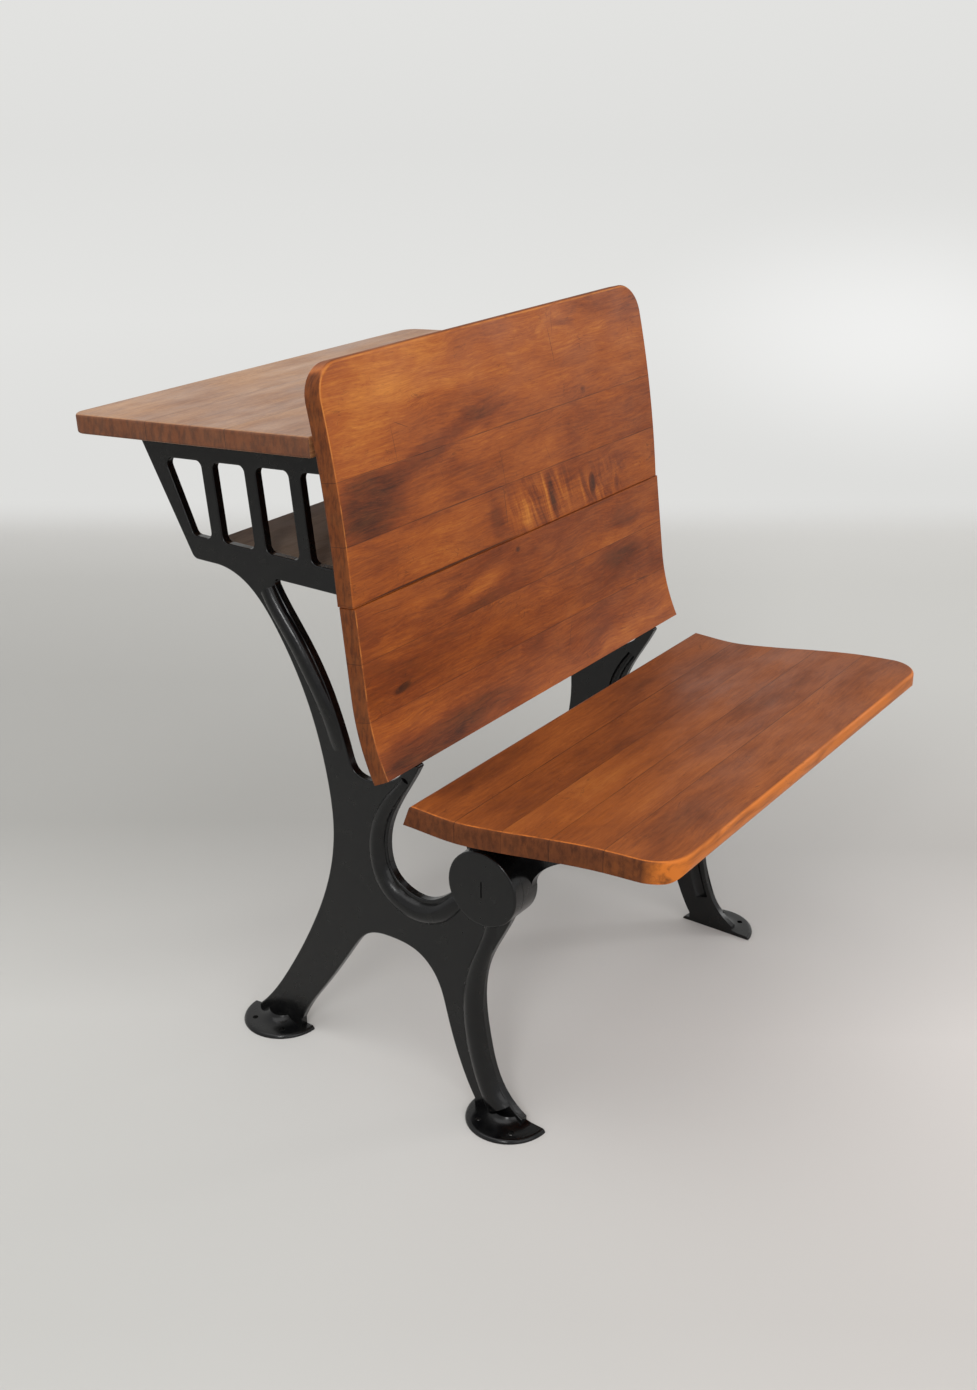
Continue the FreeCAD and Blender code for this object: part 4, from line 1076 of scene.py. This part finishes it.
@dataclass(frozen=True)
class Studio:
    """Pale paper sweep, soft lamps and the camera. Lengths here are metres.

    The camera is given by its eye and two axes, and by its focal length and the image's
    height and centre in pixels. The sweep lies square to the camera's aim; near and far
    are its ends from the object and rise the height of its wall. The grades are its
    colours with painted light and shade: the floor's from the camera away, read over
    grade_span, on the left and on the right, between which across_span leads, painted
    darker and paler in bands as the studio's light falls on it, and the wall's from its
    foot up to wall_top. A paler pool of painted light on the floor's middle lifts the
    desk's shadow, and another is painted on the lower right of the wall. Over glow_span
    the lit floor gives way to the wall's glow.
    """

    eye: Point = (-1.48683, -1.02591, 1.16909)
    right: Point = (0.58011, -0.81454, 0.0)
    up: Point = (0.30331, 0.21601, 0.92809)
    focal: float = 1640.0
    frame_height: float = 1390.0
    centre_down: float = 650.0
    sensor_mm: float = 36.0
    clip: Span = (0.05, 50.0)
    near: float = -9.0
    far: float = 2.3
    curve: float = 0.9
    curve_steps: int = 24
    rise: float = 5.0
    half_width: float = 9.0
    grade_span: Span = (-0.6, 2.2)
    across_span: Span = (-0.55, 0.75)
    glow_span: Span = (1.78, 2.12)
    wall_top: float = 1.15
    # Painted light and shade: the floor is painted darker and paler in bands as the studio's light
    # falls on it
    floor_shading_left: Stops = (
        (0.0, "#c2c1bd"), (0.18, "#cccbc7"), (0.36, "#b1b0ac"), (0.56, "#b8b7b3"),
        (0.75, "#c6c5c1"), (1.0, "#e6e5e2"))
    floor_shading_right: Stops = (
        (0.0, "#c5c1bd"), (0.16, "#dcd7d3"), (0.33, "#bebbb7"), (0.56, "#cccbc7"),
        (0.75, "#d3d2ce"), (1.0, "#e6e5e2"))
    wall: Stops = ((0.0, "#dededc"), (0.25, "#e3e3e1"), (0.65, "#dfdfdd"), (1.0, "#e2e2e0"))
    glow: str = "#f2f2f1"
    # Painted light: a paler pool on the floor's middle that lifts the desk's shadow
    painted_floor_light: Oval = Oval((100.0, 60.0, 0.0), (800.0, 620.0, FAR), 0.15, 0.2)
    # Painted light: a paler pool on the lower right of the wall, where the studio's light falls
    # brighter
    painted_wall_light: Oval = Oval((1150.0, 3000.0, 240.0), (900.0, FAR, 420.0), 0.0, 0.85)
    room: str = "#e9e9ea"
    room_strength: float = 0.88
    lamps: tuple[SoftBox, ...] = (
        SoftBox("overhead_box", (-0.9, 0.3, 2.7), (0.0, 0.0, 0.3), 2.8, 2.2, 24.0),
        SoftBox("front_box", (-0.9, -2.7, 1.7), (0.0, 0.0, 0.5), 2.4, 2.0, 17.0),
        SoftBox("key_box", (-2.6, -1.1, 2.0), (0.0, 0.0, 0.4), 0.55, 0.8, 21.0),
        SoftBox("strip_box", (2.3, -1.6, 1.6), (0.0, 0.0, 0.3), 0.35, 1.2, 9.0))

    def camera(self) -> None:
        """Makes the camera that took the photograph."""
        data = bpy.data.cameras.new("camera")
        data.sensor_fit = "AUTO"
        data.sensor_width = self.sensor_mm
        data.lens = self.focal * self.sensor_mm / self.frame_height
        data.shift_y = (self.centre_down - self.frame_height / 2) / self.frame_height
        data.clip_start, data.clip_end = self.clip
        right = Vector(self.right)
        up = Vector(self.up)
        back = right.cross(up)
        item = new_object("camera", data)
        item.matrix_world = Matrix((
            (right.x, up.x, back.x, self.eye[0]), (right.y, up.y, back.y, self.eye[1]),
            (right.z, up.z, back.z, self.eye[2]), (0.0, 0.0, 0.0, 1.0)))
        bpy.context.scene.camera = item
        log.info("camera with %.1f mm lens", data.lens)

    def sweep(self) -> None:
        """Makes the floor that curves up into the wall, with its own y along the aim."""
        profile = [(self.near, 0.0), (self.far, 0.0)]
        for step in range(1, self.curve_steps + 1):
            turn = math.pi / 2 * step / self.curve_steps
            profile.append((self.far + self.curve * math.sin(turn),
                            self.curve * (1 - math.cos(turn))))
        profile.append((self.far + self.curve, self.rise))
        points = [(side * self.half_width, along, height) for along, height in profile
                  for side in (-1, 1)]
        faces = [(2 * row, 2 * row + 1, 2 * row + 3, 2 * row + 2)
                 for row in range(len(profile) - 1)]
        mesh = bpy.data.meshes.new("sweep")
        mesh.from_pydata(points, [], faces)
        mesh.shade_smooth()
        mesh.materials.append(self.paper())
        item = new_object("sweep", mesh)
        item.rotation_euler = (0.0, 0.0, math.atan2(self.right[1], self.right[0]))
        log.info("sweep of %d rows", len(profile))

    def lit_floor(self, tree: Tree, place: Socket, axes: bpy.types.Node) -> Socket:
        """Makes the matt paper of the floor, which takes the object's shadow, and whose
        colour is painted with light and shade.

        Args:
            tree: the material's tree.
            place: the point on the sweep.
            axes: the node that holds the parts of that point.

        Returns:
            The floor's shader.
        """
        # Painted light and shade: the floor's colour grades darker and paler across it and away
        # from the camera
        away = add_node(tree, "MapRange", {
            0: axes.outputs[1], **limits(self.grade_span, 0.0, 1.0)}).outputs[0]
        across = add_node(tree, "MapRange", {
            0: axes.outputs[0], **limits(self.across_span, 0.0, 1.0)},
            interpolation_type="SMOOTHSTEP")
        floor = add_node(tree, "Mix", {
            0: across.outputs[0], 6: graded(tree, away, self.floor_shading_left),
            7: graded(tree, away, self.floor_shading_right)}, data_type="RGBA")

        # Painted light: the middle of the floor is painted paler to lift the desk's shadow
        colour = tint(tree, floor.outputs[2], (self.painted_floor_light.draw(tree, place), self.glow))
        return add_node(tree, "BsdfPrincipled", {
            "Base Color": colour, "Roughness": 0.9, "Specular IOR Level": 0.1}).outputs[0]

    def paper(self) -> bpy.types.Material:
        """Makes the matt backdrop paper: a lit floor with painted light and shade and, up the
        wall, its glow with a painted pool of light.

        Returns:
            The finished material.
        """
        material, tree = new_material("matt_backdrop_paper")
        place = add_node(tree, "TexCoord").outputs["Object"]
        axes = add_node(tree, "SeparateXYZ", {0: place})
        matt = self.lit_floor(tree, place, axes)
        upward = add_node(tree, "MapRange", {
            0: axes.outputs[2], **limits((0.0, self.wall_top), 0.0, 1.0)}).outputs[0]
        # Painted light: a paler pool tinted into the wall's glow
        colour = tint(tree, graded(tree, upward, self.wall),
                      (self.painted_wall_light.draw(tree, place), self.glow))
        wall = add_node(tree, "Emission", {0: colour, 1: 1.0})
        seen = add_node(tree, "LightPath")
        direct = weigh(tree, seen.outputs["Is Camera Ray"], (seen.outputs["Is Glossy Ray"], 1.0),
                       (seen.outputs["Is Transmission Ray"], 1.0))
        share = add_node(tree, "MapRange", {
            0: axes.outputs[1], **limits(self.glow_span, 0.0, direct)},
            interpolation_type="SMOOTHSTEP")
        both = add_node(tree, "MixShader", {0: share.outputs[0], 1: matt, 2: wall.outputs[0]})
        add_node(tree, "OutputMaterial", {0: both.outputs[0]})
        return material

    def world(self) -> None:
        """Sets the dim even light of the room."""
        world = bpy.data.worlds.new("room")
        world.use_nodes = True
        tree = world.node_tree
        tree.nodes.clear()
        glow = add_node(tree, "Background", {0: linear(self.room), 1: self.room_strength})
        add_node(tree, "OutputWorld", {0: glow.outputs[0]})
        bpy.context.scene.world = world

    def build(self) -> None:
        """Sets up the whole studio."""
        self.camera()
        self.sweep()
        self.world()
        for lamp in self.lamps:
            lamp.hang()
            log.info("%s of %g W", lamp.name, lamp.power)
        bpy.context.scene.view_settings.view_transform = "Standard"


@dataclass(frozen=True)
class SchoolDesk:
    """The whole desk: its wooden parts and its ironwork."""

    wooden: tuple[Woodwork, ...] = (SeatBack(), Seat(), DeskTop(), BookShelf())
    ironwork: Ironwork = Ironwork()

    def build(self) -> None:
        """Dresses every board and casting."""
        for part in self.wooden:
            part.build()
        self.ironwork.build()


def main() -> None:
    """Builds the desk, then the studio round it."""
    logging.basicConfig(level=logging.INFO, format="%(name)s: %(message)s")
    SchoolDesk().build()
    Studio().build()


if __name__ == "__main__":
    main()
